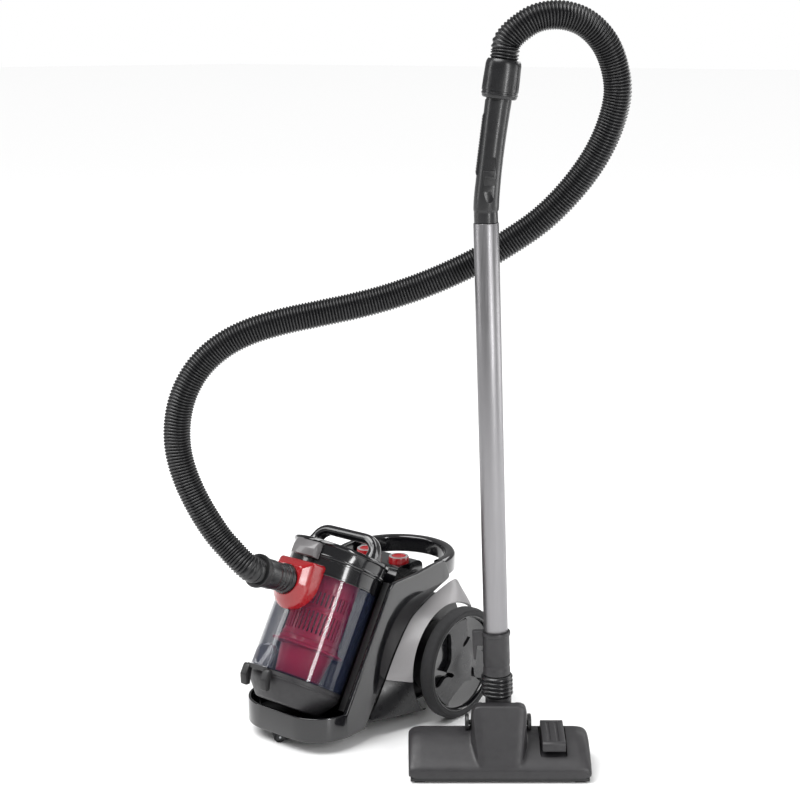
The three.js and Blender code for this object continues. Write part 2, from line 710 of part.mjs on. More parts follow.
// ---------------------------------------------------------------- hose
// centre line of the hose from the plug to the handle cuff, canister frame
const HOSE_ROUTE = [
  [0, -268.7, 282.3], [0, -280, 287.6], [0, -290, 292.3], [-9, -298, 303], [-23, -305, 319], [-40, -316, 343],
  [-58, -333, 386], [-72, -345, 430], [-80, -350, 472], [-80, -348, 514], [-73, -339, 553],
  [-59, -322, 588], [-37, -299, 616], [-9, -271, 636], [25, -236, 650], [60, -200, 660],
  [95, -165, 670], [131, -129, 683], [173, -90, 703], [217, -49, 730], [257, -17, 760],
  [295, 10, 794], [329, 31, 836], [358, 43, 881], [378, 48, 926], [389, 46, 970],
  [388, 34, 1010], [381, 16, 1040], [366, -7, 1062], [345, -31, 1071], [322, -53, 1067],
  [303, -69, 1052], [291.4, -77.8, 1036], [289.3, -79.6, 1021], [287.4, -81.2, 1001.4],
  [285.4, -82.8, 981.3], [283.9, -83.9, 966.2],
];

function plugPiece() {
  const outer = BORE_R;
  const inner = BORE_R - PLUG_WALL;
  const profile = [[inner, -PLUG_REACH], [outer, -PLUG_REACH], [outer, GAP], [outer + 3.5, GAP],
    [outer + 3.5, 7], [outer + 1, 9], [outer + 1, 30], [outer + 3, 33], [outer + 3, PLUG_LENGTH],
    [inner, PLUG_LENGTH], [inner, -PLUG_REACH]];
  return turned(profile, 24);
}

function plugCollar() {
  const inner = HOSE_R + RUN;
  const z0 = PLUG_LENGTH + GAP;
  const throat = BORE_R - PLUG_WALL;
  const profile = [[throat, z0], [inner + 3, z0], [inner + 3, z0 + 6], [inner + 5, z0 + 7],
    [inner + 5, z0 + 12], [inner, z0 + 12], [inner, z0 + WALL], [throat, z0 + WALL], [throat, z0]];
  return turned(profile, 24);
}

function hoseTube() {
  const points = HOSE_ROUTE.map(([x, y, z]) => new THREE.Vector3(x, y, z));
  const path = new THREE.CatmullRomCurve3(points);
  const section = new THREE.Shape();
  section.absarc(0, 0, HOSE_R, 0, Math.PI * 2, false);
  const hole = new THREE.Path();
  hole.absarc(0, 0, HOSE_R - HOSE_WALL, 0, Math.PI * 2, true);
  section.holes.push(hole);
  return new THREE.ExtrudeGeometry(section, { steps: 56, extrudePath: path, curveSegments: 5 });
}

// ---------------------------------------------------------------- handle
// the handle bends away from the tube: [height above it, sideways, half width, half depth, tip]
const HANDLE = [
  [1, 0, TUBE_R - 1, TUBE_R - 1, 0], [16, 0, TUBE_R - 1, TUBE_R - 1, 0], [20, 0.5, 17.5, 18, 0.06],
  [38, 2, 17.5, 19, 0.08], [70, 6, 17, 19, 0.12], [105, 11, 17, 19, 0.15], [140, 16.5, 17.5, 19, CUFF_TIP],
  [164, 20.5, 18, 19.5, CUFF_TIP],
];

function handleGrip() {
  const station = (inset) => HANDLE.map(([z, x, a, b, tip], i) => {
    const reach = inset ? (i === 0) * -5 + (i === HANDLE.length - 1) * 5 : 0;
    return [x, 0, TUBE_TO + z + reach, a - inset, b - inset, tip];
  });
  const shell = cut(sweptOval(station(0), 16), sweptOval(station(2.8), 16));
  return cut(shell, stripBody(GAP), sliderBed());
}

// ribbed strip let into the handle's back, grown by extra for its pocket
function stripBody(extra) {
  const e = extra;
  const foot = TUBE_TO + 66;
  const centre = (z) => 6 + (z - foot - 4) * 0.15;
  const ring = (z, out) => [
    [centre(z) - 17.6 - out - e, -5.8 - e, z], [centre(z) - 15.6 + e, -5.8 - e, z],
    [centre(z) - 15.6 + e, 5.8 + e, z], [centre(z) - 17.6 - out - e, 5.8 + e, z],
  ];
  const [low, high] = [foot - e, foot + 82 + e];
  return lofted([ring(low, 0), ring(low + 4, 1.2), ring(high - 4, 1.2), ring(high, 0)]);
}

// flat bed with a bleed hole that the air slider covers
function sliderBed() {
  const [low, high] = SLIDER;
  const x = SLIDER_X;
  const bed = box(x - 9, x + 9, -30, -SLIDER_BED, low - 2, high + 18);
  return join(bed, box(x - 3, x + 3, -30, -5, low + 4, low + 12));
}

function airSlider() {
  const [low, high] = SLIDER;
  const x = SLIDER_X;
  const plate = box(x - 8, x + 8, -SLIDER_BED - 2, -SLIDER_BED - GAP, low, high);
  return join(plate, box(x - 6, x + 6, -SLIDER_BED - 4.4, -SLIDER_BED - 1.9, low + 8, low + 12));
}

function hoseCuff() {
  const inner = HOSE_R + 2 * RUN;
  const wide = HOSE_R + 5.5;
  const profile = [[inner, 0], [wide - 1.5, 0], [wide, 8], [wide, CUFF_LENGTH - 14], [wide - 2, CUFF_LENGTH],
    [inner, CUFF_LENGTH], [inner, 0]];
  const sleeve = turned(profile, 24);
  return sleeve.translate(0, 0, 2).rotateY(CUFF_TIP).translate(21, 0, HANDLE_TOP - 2);
}

// ---------------------------------------------------------------- wand and neck
function neckSocket() {
  const inner = TUBE_R + GAP;
  const mouth = SOCKET_MOUTH;
  const foot = SOCKET_FOOT;
  const seat = TUBE_FROM - GAP;
  const profile = [[15, foot], [SOCKET_R, foot], [SOCKET_R, mouth - 6], [SOCKET_R + 1.5, mouth - 5],
    [SOCKET_R + 1.5, mouth], [inner, mouth], [inner, seat], [15, seat], [15, foot]];
  const socket = turned(profile, 24);
  const hookBase = box(-SOCKET_R - 12.5, -SOCKET_R + 1.5, -6, 6, mouth - 20, mouth + 2);
  const hookRing = (x0, x1, y, z) => [[x0, -y], [x1, -y], [x1, y], [x0, y]]
    .map(([x, side]) => [x - SOCKET_R, side, mouth + z]);
  const tip = hookRing(-13.5, -10.5, 3, -42);
  const prong = lofted([hookRing(-14.5, -7.5, 5, 2), hookRing(-14.5, -8.5, 5, -22), tip]);
  const clear = rod(inner, seat, mouth + 60, 24);
  return cut(join(socket, hookBase, prong), clear);
}

function swivelCollar() {
  const z0 = COLLAR_FOOT;
  const pitch = 6.2;
  const top = SOCKET_FOOT - 0.4;
  const profile = [[14, z0]];
  for (let i = 0; i < 5; i += 1) {
    profile.push([21, z0 + i * pitch], [23, z0 + (i + 0.5) * pitch]);
  }
  profile.push([21, top], [14, top], [14, z0]);
  return turned(profile, 20);
}

// the lower neck: a cross barrel on the head's hinge pin, with the duct rising from it
function neckYoke() {
  const barrel = alongX(rod(17, -SLOT_HALF + RUN, SLOT_HALF - RUN, 24));
  const duct = rod(19, 0, COLLAR_FOOT - 1.4, 24);
  const bore = rod(13, -30, 60, 20);
  const pinHole = alongX(rod(PIN_R, -40, 40, 16));
  return cut(join(barrel, duct), bore, pinHole);
}

// ---------------------------------------------------------------- floor head
function wingSection(x, z0, shrink) {
  const s = shrink;
  const y0 = HEAD_FRONT + s;
  const y1 = HEAD_REAR - s;
  return [[x, y0, z0], [x, y0, SKIRT - s * 0.4], [x, y0 + 8, SKIRT + 7 - s * 0.7], [x, -26, WING_TOP - 9 - s],
    [x, -8, WING_TOP - s], [x, 18, WING_TOP - s], [x, y1, SKIRT + 14 - s], [x, y1, z0]];
}

function wings(z0, half, shrink) {
  const end = (sign) => wingSection(sign * half, z0, shrink)
    .map(([x, y, z]) => [x, y * 0.97, z0 + (z - z0) * 0.86]);
  return lofted([end(-1), wingSection(-half + 10, z0, shrink), wingSection(half - 10, z0, shrink), end(1)]);
}

function hump(shrink) {
  const s = shrink;
  const ring = (y, half, z1) => [[s - half, y, 14], [half - s, y, 14], [half - s, y, z1 - s],
    [s - half, y, z1 - s]];
  return lofted([ring(HEAD_FRONT + 3 + s, 31, SKIRT + 6), ring(-30, HUMP_HALF, HUMP_TOP),
    ring(6, HUMP_HALF, HUMP_TOP), ring(HEAD_REAR - s, HUMP_HALF, 62)]);
}

function headShell() {
  const outer = join(wings(HEAD_FOOT, HEAD_HALF, 0), hump(0));
  const cavity = box(-HEAD_HALF + 14, HEAD_HALF - 14, HEAD_FRONT + 4, HEAD_REAR - 4, 0, SKIRT - 2);
  const slot = box(-SLOT_HALF, SLOT_HALF, -16, 80, 40, 200);
  const barrelRoom = alongX(rod(18, -SLOT_HALF, SLOT_HALF, 28)).translate(0, PIVOT.y, PIVOT.z);
  const throat = box(-14, 14, -14, 20, 0, 60);
  const pin = alongX(rod(PIN_R, -60, 60, 16)).translate(0, PIVOT.y, PIVOT.z);
  const well = PEDAL.half + 3;
  const pedalWell = box(PEDAL.x - well, PEDAL.x + well, -52, 12, 34, 90);
  const caps = pinCaps(GAP).map((cap) => cap.translate(0, PIVOT.y, PIVOT.z));
  return cut(outer, cavity, slot, barrelRoom, throat, pin, pedalWell, ...caps);
}

// the hinge pin's two round caps, grown by extra for their recesses
function pinCaps(extra) {
  const [near, far] = PIN_CAP;
  const cap = rod(PIN_CAP_R + extra, near - extra, far + extra, 24);
  return [alongX(cap.clone()), mirrored(alongX(cap))];
}

function hingePin() {
  const pin = alongX(rod(PIN_R - 0.2, -PIN_CAP[1], PIN_CAP[1], 16));
  return join(pin, ...pinCaps(0)).translate(0, PIVOT.y, PIVOT.z);
}

function solePlate() {
  const plate = box(-HEAD_HALF + 3, HEAD_HALF - 3, HEAD_FRONT + 2, HEAD_REAR - 2, 3, HEAD_FOOT - 0.4);
  const runners = [-1, 1].map((sign) => {
    const x = sign * (HEAD_HALF - 16);
    return box(x - 7, x + 7, HEAD_FRONT + 6, HEAD_REAR - 30, 0, 4);
  });
  const mouth = box(-HEAD_HALF + 30, HEAD_HALF - 30, -34, -10, -5, 20);
  const rollers = [-HEAD_ROLLER.x, HEAD_ROLLER.x]
    .map((x) => box(x - 9, x + 9, HEAD_REAR - 24, HEAD_REAR - 2.5, -5, 20));
  const strips = box(-HEAD_HALF + 22, HEAD_HALF - 22, -52, -44, -5, 20);
  return cut(join(plate, ...runners), mouth, strips, ...rollers);
}

function brushBar() {
  return join(
    box(-HEAD_HALF + 23, HEAD_HALF - 23, -51, -45, 2, 16),
    box(-HEAD_HALF + 23, HEAD_HALF - 23, -51, -38, HEAD_FOOT + BRUSH_TRAVEL + 0.5, 16),
  );
}

function headRoller(x) {
  const { r, half, back } = HEAD_ROLLER;
  return alongX(rod(r, -half, half, 24)).translate(x, HEAD_REAR - back, r);
}

function pedal() {
  const side = [[-50, 43], [-50, 54], [-47, 57], [8, 68], [10, 65], [10, 52], [-36, 43]];
  return sideways(side, PEDAL.x - PEDAL.half, PEDAL.x + PEDAL.half);
}

// ---------------------------------------------------------------- assembly
const vacuum = new THREE.Group();
const canister = new THREE.Group();
canister.position.set(-ORIGIN.x, -ORIGIN.y, 0);
vacuum.add(canister);

add(canister, 'body_frame', bodyFrame(), gloss);
add(canister, 'base_pan', basePan(), black);
add(canister, 'motor_housing', motorHousing(), black);
add(canister, 'button_block', buttonBlock(), gloss);
add(canister, 'exhaust_grille', exhaustGrille(), black);
add(canister, 'exhaust_filter', exhaustFilter(), finish(0xe8e8e4, 0.95));
add(canister, 'power_button', button(BUTTON_X), red);
add(canister, 'rewind_button', button(-BUTTON_X), red);
add(canister, 'power_switch', box(-8, 8, -8, 8, 152, 166).translate(BUTTON_X, buttonY(), 0), black);

const crescent = fender(0, 6);
const skirt = fender(6, 9);
[['right', 1], ['left', -1]].forEach(([name, sign]) => {
  const place = (geometry) => (sign > 0 ? geometry : mirrored(geometry));
  add(canister, `crescent_panel_${name}`, place(crescent), silver);
  add(canister, `side_skirt_${name}`, place(skirt), black);
  add(canister, `side_cover_${name}`, place(sideCover()), black);
  add(canister, `stub_axle_${name}`, place(stubAxle()), steel);
  const wheel = new THREE.Group();
  wheel.position.set(sign * (TRACK_HALF - WHEEL_WIDTH), AXLE_Y, WHEEL_R);
  canister.add(wheel);
  add(wheel, `tyre_${name}`, place(tyre()), rubber);
  add(wheel, `wheel_disc_${name}`, place(wheelDisc()), black);
});

const caster = new THREE.Group();
caster.position.set(CASTER.x, CASTER.y, 0);
caster.rotation.z = THREE.MathUtils.degToRad(52);
canister.add(caster);
add(caster, 'caster_fork', casterFork(), black);
add(caster, 'caster_roller', casterRoller(), rubber);
add(caster, 'caster_pin', casterPin(), steel);

const motor = new THREE.Group();
motor.position.set(0, MOTOR.y, MOTOR.z);
canister.add(motor);
add(motor, 'motor_case', motorCase(), steel);
add(motor, 'motor_shaft', motorShaft(), steel);
add(motor, 'fan_impeller', fanImpeller(), silver);
add(canister, 'cord_reel', cordReel().translate(REEL.x, REEL.y, REEL.z), black);
add(canister, 'cord_outlet', cordOutlet(), black);

const bin = new THREE.Group();
bin.position.set(0, BIN_BASE.y, BIN_BASE.z);
bin.rotation.x = -BIN_TILT;
canister.add(bin);
add(bin, 'bin_cradle', cradle(), black);
add(bin, 'bin_canister', binCanister(), smoke);
add(bin, 'bin_collar', binCollar(), gloss);
add(bin, 'inlet_port', inletPort(), red);
add(bin, 'latch_plate', latchPlate(), smoke);
add(bin, 'bin_flap', binFlap(), matt);
add(bin, 'flap_latch', flapLatch(), black);
add(bin, 'bin_cover', binCover(), gloss);
add(bin, 'bin_handle', binArch(), gloss);
add(bin, 'release_button', releaseButton(), silver);
add(bin, 'cyclone_shroud', shroudTube(), red);
add(bin, 'cyclone_cone', cycloneCone(), red);
add(bin, 'filter_cartridge', filterCartridge(), finish(0xeeeeea, 0.95));

const port = portFrame(canister);
add(port, 'hose_plug', plugPiece(), black);
add(port, 'plug_collar', plugCollar(), black);
add(canister, 'hose', hoseTube(), black);

const wand = new THREE.Group();
wand.position.set(WAND.x, WAND.y, 0);
wand.rotation.z = WAND_YAW;
canister.add(wand);
const lean = new THREE.Group();
lean.position.set(0, PIVOT.y, PIVOT.z);
lean.rotation.y = -WAND_LEAN;
wand.add(lean);
add(lean, 'hose_cuff', hoseCuff(), black);
add(lean, 'handle_grip', handleGrip(), black);
add(lean, 'grip_strip', stripBody(0), rubber);
add(lean, 'air_slider', airSlider(), black);
add(lean, 'wand_tube', tubeRing(TUBE_R, TUBE_R - TUBE_WALL, TUBE_FROM, TUBE_TO, 24), chrome);
add(lean, 'neck_socket', neckSocket(), matt);
add(lean, 'swivel_collar', swivelCollar(), matt);
add(wand, 'neck_yoke', neckYoke().translate(0, PIVOT.y, PIVOT.z), matt);
add(wand, 'head_shell', headShell(), matt);
add(wand, 'hinge_pin', hingePin(), steel);
add(wand, 'sole_plate', solePlate(), black);
add(wand, 'brush_bar', brushBar(), rubber);
add(wand, 'pedal', pedal(), matt);
add(wand, 'head_roller_left', headRoller(-HEAD_ROLLER.x), rubber);
add(wand, 'head_roller_right', headRoller(HEAD_ROLLER.x), rubber);

export default vacuum;
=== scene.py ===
# Canister vacuum cleaner with a bagless cyclone bin: its visible pieces and finishes,
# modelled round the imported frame. Each piece is drawn in millimetres in the frame of the
# thing it belongs to (canister, bin, port, wand) and then put in its place in metres.
import json
import math

import bpy
from mathutils import Matrix, Vector


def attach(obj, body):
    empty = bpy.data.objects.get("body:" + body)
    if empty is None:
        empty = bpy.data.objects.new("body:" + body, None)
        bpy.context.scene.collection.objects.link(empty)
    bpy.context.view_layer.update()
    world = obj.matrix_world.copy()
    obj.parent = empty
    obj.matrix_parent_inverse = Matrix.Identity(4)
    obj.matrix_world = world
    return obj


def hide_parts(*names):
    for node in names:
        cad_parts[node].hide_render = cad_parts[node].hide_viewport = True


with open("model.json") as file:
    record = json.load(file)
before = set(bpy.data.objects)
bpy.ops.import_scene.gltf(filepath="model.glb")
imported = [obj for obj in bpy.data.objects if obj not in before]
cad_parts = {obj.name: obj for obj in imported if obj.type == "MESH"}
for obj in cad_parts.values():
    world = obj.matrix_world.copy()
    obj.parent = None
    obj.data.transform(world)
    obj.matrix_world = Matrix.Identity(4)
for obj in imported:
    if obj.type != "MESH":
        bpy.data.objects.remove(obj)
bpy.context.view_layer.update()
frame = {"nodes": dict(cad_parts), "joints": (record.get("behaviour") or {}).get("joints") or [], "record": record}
JOINTS = {j["name"]: j for j in frame["joints"]}
BODY_OF = {n: b for b, ns in frame["record"]["behaviour"]["bodies"].items() for n in ns}
MM = 0.001


# ------------------------------------------------------------------ frames
def frame_at(origin, z_axis, x_axis):
    """The matrix from millimetres in a local frame to metres in the shared frame."""
    z = Vector(z_axis).normalized()
    y = z.cross(Vector(x_axis)).normalized()
    turn = Matrix((y.cross(z), y, z)).transposed().to_4x4()
    return Matrix.Translation(origin) @ turn @ Matrix.Scale(MM, 4)


def stepped_back(place, point):
    """The same frame with its origin moved so that the old origin lies at that point."""
    return place @ Matrix.Translation(-Vector(point))


def joint_frame(name, z_axis, x_axis, at):
    """The frame in which the joint's point has the coordinates at."""
    return stepped_back(frame_at(JOINTS[name]["pos_m"], z_axis, x_axis), at)


UP = (0, 0, 1)
ACROSS = (1, 0, 0)
WHEEL_X, AXLE_Y, WHEEL_R = 139, 28, 88
WHEEL_BACK = 128
CANISTER = joint_frame("wheel_right_roll", UP, ACROSS, (WHEEL_X, AXLE_Y, WHEEL_R))
BIN = joint_frame("flap_drop", JOINTS["bin_lift"]["axis"], ACROSS, (0, 73, 42))
PORT = joint_frame("collar_turn", JOINTS["collar_turn"]["axis"], ACROSS, (0, 0, 60))
SIDE = JOINTS["neck_tilt"]["axis"]
PIVOT = (0, 8, 64)
HEAD = joint_frame("neck_tilt", UP, SIDE, PIVOT)
WAND = joint_frame("neck_tilt", JOINTS["wand_turn"]["axis"], SIDE, (0, 0, 0))


# ------------------------------------------------------------------ camera
CAMERA_AT = (1613.7, -1913.3, 1034)
CAMERA_PITCH = math.radians(77.8)
CAMERA_TURN = math.radians(39.4)
CAMERA_LENS = 74.25
SENSOR_WIDTH = 36


def make_camera():
    turn = (CAMERA_PITCH, 0, CAMERA_TURN)
    bpy.ops.object.camera_add(location=CANISTER @ Vector(CAMERA_AT), rotation=turn)
    camera = bpy.context.object
    camera.data.lens = CAMERA_LENS
    camera.data.sensor_width = SENSOR_WIDTH
    bpy.context.scene.camera = camera


# ------------------------------------------------------------------ modelling
def deselect():
    if bpy.context.mode != "OBJECT":
        bpy.ops.object.mode_set(mode="OBJECT")
    bpy.ops.object.select_all(action="DESELECT")


def only(obj):
    deselect()
    obj.select_set(True)
    bpy.context.view_layer.objects.active = obj
    return obj


def edit(obj):
    only(obj)
    bpy.ops.object.mode_set(mode="EDIT")
    bpy.ops.mesh.select_all(action="SELECT")


def done():
    """Leaves edit mode with the faces pointing outwards."""
    bpy.ops.mesh.select_all(action="SELECT")
    bpy.ops.mesh.normals_make_consistent(inside=False)
    bpy.ops.object.mode_set(mode="OBJECT")
    return bpy.context.object


def drawn(name, points):
    """A line of edges, extruded point by point; it stays in edit mode."""
    deselect()
    bpy.ops.mesh.primitive_plane_add(size=1)
    obj = bpy.context.object
    obj.name = name
    bpy.ops.object.mode_set(mode="EDIT")
    bpy.ops.mesh.merge(type="CENTER")
    bpy.ops.transform.translate(value=points[0])
    for a, b in zip(points, points[1:]):
        step = Vector(b) - Vector(a)
        bpy.ops.mesh.extrude_region_move(TRANSFORM_OT_translate={"value": step})
    bpy.ops.mesh.select_all(action="SELECT")
    return obj


def turned(name, profile, steps=96):
    """A round piece about +Z: its half outline in radius and height, spun."""
    drawn(name, [(r, 0, z) for r, z in profile])
    bpy.ops.mesh.spin(steps=steps, angle=math.tau, center=(0, 0, 0), axis=(0, 0, 1))
    bpy.ops.mesh.select_all(action="SELECT")
    bpy.ops.mesh.remove_doubles(threshold=0.005)
    return done()


def prism(name, outline, low, high):
    """A flat outline in x and y, raised from low to high."""
    drawn(name, [(x, y, low) for x, y in outline])
    bpy.ops.mesh.edge_face_add()
    bpy.ops.mesh.extrude_region_move(TRANSFORM_OT_translate={"value": (0, 0, high - low)})
    return done()


def slab(name, outline, left, right):
    """A side view in y and z, given width from left to right."""
    drawn(name, [(left, y, z) for y, z in outline])
    bpy.ops.mesh.edge_face_add()
    bpy.ops.mesh.extrude_region_move(TRANSFORM_OT_translate={"value": (right - left, 0, 0)})
    return done()


def block(name, low, high):
    size = Vector(high) - Vector(low)
    deselect()
    bpy.ops.mesh.primitive_cube_add(size=1, location=Vector(low) + size / 2, scale=size)
    bpy.context.object.name = name
    bpy.ops.object.transform_apply(location=True, rotation=True, scale=True)
    return bpy.context.object


def skin(name, rings, closed=False):
    """A smooth-shelled shape over rings of points, for forms that no outline gives."""
    count = len(rings[0])
    last = len(rings) if closed else len(rings) - 1
    faces = []
    for i in range(last):
        a, b = i * count, (i + 1) % len(rings) * count
        for j in range(count):
            k = (j + 1) % count
            faces.append((a + j, a + k, b + k, b + j))
    if not closed:
        faces += [tuple(range(count)), tuple(range((len(rings) - 1) * count, len(rings) * count))]
    mesh = bpy.data.meshes.new(name)
    mesh.from_pydata([tuple(p) for ring in rings for p in ring], [], faces)
    obj = bpy.data.objects.new(name, mesh)
    bpy.context.scene.collection.objects.link(obj)
    edit(obj)
    return done()


def softened(points, radius, steps=4, closed=True):
    """The same outline with its corners rounded."""
    result = []
    for i, point in enumerate(points):
        if not closed and i in (0, len(points) - 1):
            result.append(tuple(point))
            continue
        a, b, c = (Vector(p) for p in (points[i - 1], point, points[(i + 1) % len(points)]))
        start = b + (a - b).normalized() * min(radius, (a - b).length * 0.45)
        end = b + (c - b).normalized() * min(radius, (c - b).length * 0.45)
        for k in range(steps + 1):
            t = k / steps
            result.append(tuple((1 - t) ** 2 * start + 2 * t * (1 - t) * b + t * t * end))
    return result


def arc(centre, radius, start, stop, steps):
    """Points on an arc, in degrees from the first axis."""
    turns = [math.radians(start + (stop - start) * k / steps) for k in range(steps + 1)]
    return [(centre[0] + radius * math.cos(t), centre[1] + radius * math.sin(t)) for t in turns]


def modify(obj, kind, **settings):
    only(obj)
    bpy.ops.object.modifier_add(type=kind)
    modifier = obj.modifiers[-1]
    for name, value in settings.items():
        setattr(modifier, name, value)
    bpy.ops.object.modifier_apply(modifier=modifier.name)
    return obj


def combined(obj, operation, others):
    for other in others:
        modify(obj, "BOOLEAN", object=other, operation=operation, solver="EXACT")
        bpy.data.objects.remove(other)
    return obj


def cut(obj, *tools):
    return combined(obj, "DIFFERENCE", tools)


def joined(pieces):
    """Many separate pieces as one, for a single cut."""
    deselect()
    for piece in pieces:
        piece.select_set(True)
    bpy.context.view_layer.objects.active = pieces[0]
    bpy.ops.object.join()
    return pieces[0]


def fused(obj, *others):
    return combined(obj, "UNION", others)


def rounded(obj, width, segments=3, angle=30):
    limit = math.radians(angle)
    return modify(obj, "BEVEL", width=width, segments=segments, limit_method="ANGLE", angle_limit=limit)


def moved(obj, offset=(0, 0, 0), turn=0, axis="Z", stretch=(1, 1, 1)):
    """The piece stretched, turned about an axis and then shifted, with its place applied."""
    only(obj)
    matrix = Matrix.Translation(offset) @ Matrix.Rotation(math.radians(turn), 4, axis)
    obj.matrix_world = matrix @ Matrix.Diagonal((*stretch, 1)) @ obj.matrix_world
    bpy.ops.object.transform_apply(location=True, rotation=True, scale=True)
    return obj


def copied(obj, name):
    twin = bpy.data.objects.new(name, obj.data.copy())
    bpy.context.scene.collection.objects.link(twin)
    return twin


def mirrored(obj, name):
    """A copy on the other side of the canister."""
    twin = moved(copied(obj, name), stretch=(-1, 1, 1))
    edit(twin)
    return done()


def settled(obj, place, material, *nodes, sharp=32):
    """The finished piece in its place, smoothed, with its finish, its body and its nodes."""
    only(obj)
    obj.matrix_world = place @ obj.matrix_world
    bpy.ops.object.transform_apply(location=True, rotation=True, scale=True)
    bpy.ops.object.shade_smooth_by_angle(angle=math.radians(sharp))
    obj.data.materials.clear()
    obj.data.materials.append(material)
    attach(obj, BODY_OF[nodes[0]])
    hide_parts(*nodes)
    return obj


def refined(node_name, material, width=1.0, segments=3, angle=25):
    """A copy of a frame node with its flat faces merged and its edges rounded."""
    source = frame["nodes"][node_name]
    obj = bpy.data.objects.new(node_name + "_moulding", source.data.copy())
    bpy.context.scene.collection.objects.link(obj)
    edit(obj)
    bpy.ops.mesh.remove_doubles(threshold=0.02 * MM)
    bpy.ops.mesh.dissolve_limited(angle_limit=math.radians(2))
    bpy.ops.object.mode_set(mode="OBJECT")
    rounded(obj, width * MM, segments, angle)
    return settled(obj, Matrix(), material, node_name)


def painted(node_name, material):
    """A frame node that keeps its own shape."""
    obj = frame["nodes"][node_name]
    obj.data.materials.clear()
    obj.data.materials.append(material)


# ------------------------------------------------------------------ finishes
# a Mix node's colour sockets share their names with others, so they are taken by number
MIX_A, MIX_B, MIX_RESULT = 6, 7, 2


def linear(hex_colour):
    """A linear colour from an sRGB hex value."""
    channels = [int(hex_colour[i:i + 2], 16) / 255 for i in (1, 3, 5)]
    return (*[c / 12.92 if c <= 0.04045 else ((c + 0.055) / 1.055) ** 2.4 for c in channels], 1)


def surface(name, colour, roughness, **sockets):
    """A material with one Principled shader; sockets are given by name with _ for a space."""
    material = bpy.data.materials.new(name)
    material.use_nodes = True
    shader = material.node_tree.nodes["Principled BSDF"]
    shader.inputs["Base Color"].default_value = linear(colour)
    shader.inputs["Roughness"].default_value = roughness
    for socket, value in sockets.items():
        shader.inputs[socket.replace("_", " ")].default_value = value
    return material


def node(owner, kind, settings=None, links=None, inputs=None):
    """Adds a node to a material or world; links maps its inputs to other nodes' outputs."""
    tree = owner.node_tree
    made = tree.nodes.new(kind)
    for name, value in (settings or {}).items():
        setattr(made, name, value)
    for name, value in (inputs or {}).items():
        made.inputs[name].default_value = value
    for name, output in (links or {}).items():
        tree.links.new(output, made.inputs[name])
    return made


def per_mm(size):
    """Noise scale for features of that size in millimetres."""
    return 1 / (size * MM)


def grain(material, size, detail=2, stretch=(1, 1, 1)):
    """A random pattern whose features have that size in millimetres, drawn out by stretch."""
    spot = node(material, "ShaderNodeTexCoord").outputs["Object"]
    at = node(material, "ShaderNodeMapping", links={"Vector": spot}, inputs={"Scale": stretch})
    made = node(material, "ShaderNodeTexNoise", links={"Vector": at.outputs["Vector"]},
                inputs={"Scale": per_mm(size), "Detail": detail})
    return made.outputs["Fac"]


def connect(material, socket, output):
    shader = material.node_tree.nodes["Principled BSDF"]
    material.node_tree.links.new(output, shader.inputs[socket])


def worn(material, pattern, low, high):
    """Roughness from low to high by the middle range of the pattern."""
    made = node(material, "ShaderNodeMapRange", links={"Value": pattern},
                inputs={"From Min": 0.3, "From Max": 0.7, "To Min": low, "To Max": high})
    connect(material, "Roughness", made.outputs["Result"])


def bumped(material, height, depth_mm, strength=1.0):
    """Raises the surface by the height pattern, up to depth_mm."""
    made = node(material, "ShaderNodeBump", links={"Height": height},
                inputs={"Strength": strength, "Distance": depth_mm * MM})
    connect(material, "Normal", made.outputs["Normal"])


def tinted(material, factor, colour_a, colour_b):
    """Base colour between two colours by the factor."""
    made = node(material, "ShaderNodeMix", {"data_type": "RGBA"}, {"Factor": factor})
    made.inputs[MIX_A].default_value = linear(colour_a)
    made.inputs[MIX_B].default_value = linear(colour_b)
    connect(material, "Base Color", made.outputs[MIX_RESULT])


def polished_abs(name, colour, second, roughness=0.1):
    """Injection-moulded ABS from a polished tool: deep gloss with a faint orange peel."""
    made = surface(name, colour, roughness, IOR=1.53, Coat_Weight=0.4, Coat_Roughness=0.04)
    worn(made, grain(made, 22, 3), roughness * 0.8, roughness * 1.7)
    tinted(made, grain(made, 60), colour, second)
    bumped(made, grain(made, 3.5), 0.004, 0.4)
    return made


def eroded_abs(name, colour, second, roughness, grain_mm=0.7, depth_mm=0.05):
    """ABS moulded in a spark-eroded tool: a fine matt grain, drawn a little coarse to show."""
    made = surface(name, colour, roughness, IOR=1.5)
    tinted(made, grain(made, 14, 4), colour, second)
    worn(made, grain(made, 9, 3), roughness * 0.85, roughness * 1.15)
    bumped(made, grain(made, grain_mm, 3), depth_mm, 0.6)
    return made


def metallic_lacquer():
    """Silver lacquer over ABS: metal flake under a clear coat."""
    made = surface("silver_lacquer", "#8C8A8B", 0.5, Metallic=0.12, Coat_Weight=0.3, Coat_Roughness=0.2)
    tinted(made, grain(made, 0.6, 1), "#7E7C7D", "#969495")
    bumped(made, grain(made, 0.6, 1), 0.01, 0.4)
    return made


def smoked_polycarbonate():
    """Clear polycarbonate with a blue-grey smoke tint, polished."""
    made = surface("smoked_polycarbonate", "#232A40", 0.03, IOR=1.58, Alpha=0.26, Coat_Weight=1.0,
                   Coat_Roughness=0.02)
    worn(made, grain(made, 30, 3), 0.03, 0.07)
    slant = node(made, "ShaderNodeLayerWeight", inputs={"Blend": 0.35}).outputs["Facing"]
    density = node(made, "ShaderNodeMapRange", links={"Value": slant},
                   inputs={"To Min": 0.24, "To Max": 0.86})
    connect(made, "Alpha", density.outputs["Result"])
    made.surface_render_method = "BLENDED"
    return made


def tumbled_rubber():
    """Moulded rubber: matt, with a dusty grain."""
    made = surface("moulded_rubber", "#1B1B1D", 0.8, IOR=1.52)
    tinted(made, grain(made, 7, 4), "#161617", "#262628")
    bumped(made, grain(made, 0.9, 3), 0.06, 0.7)
    return made


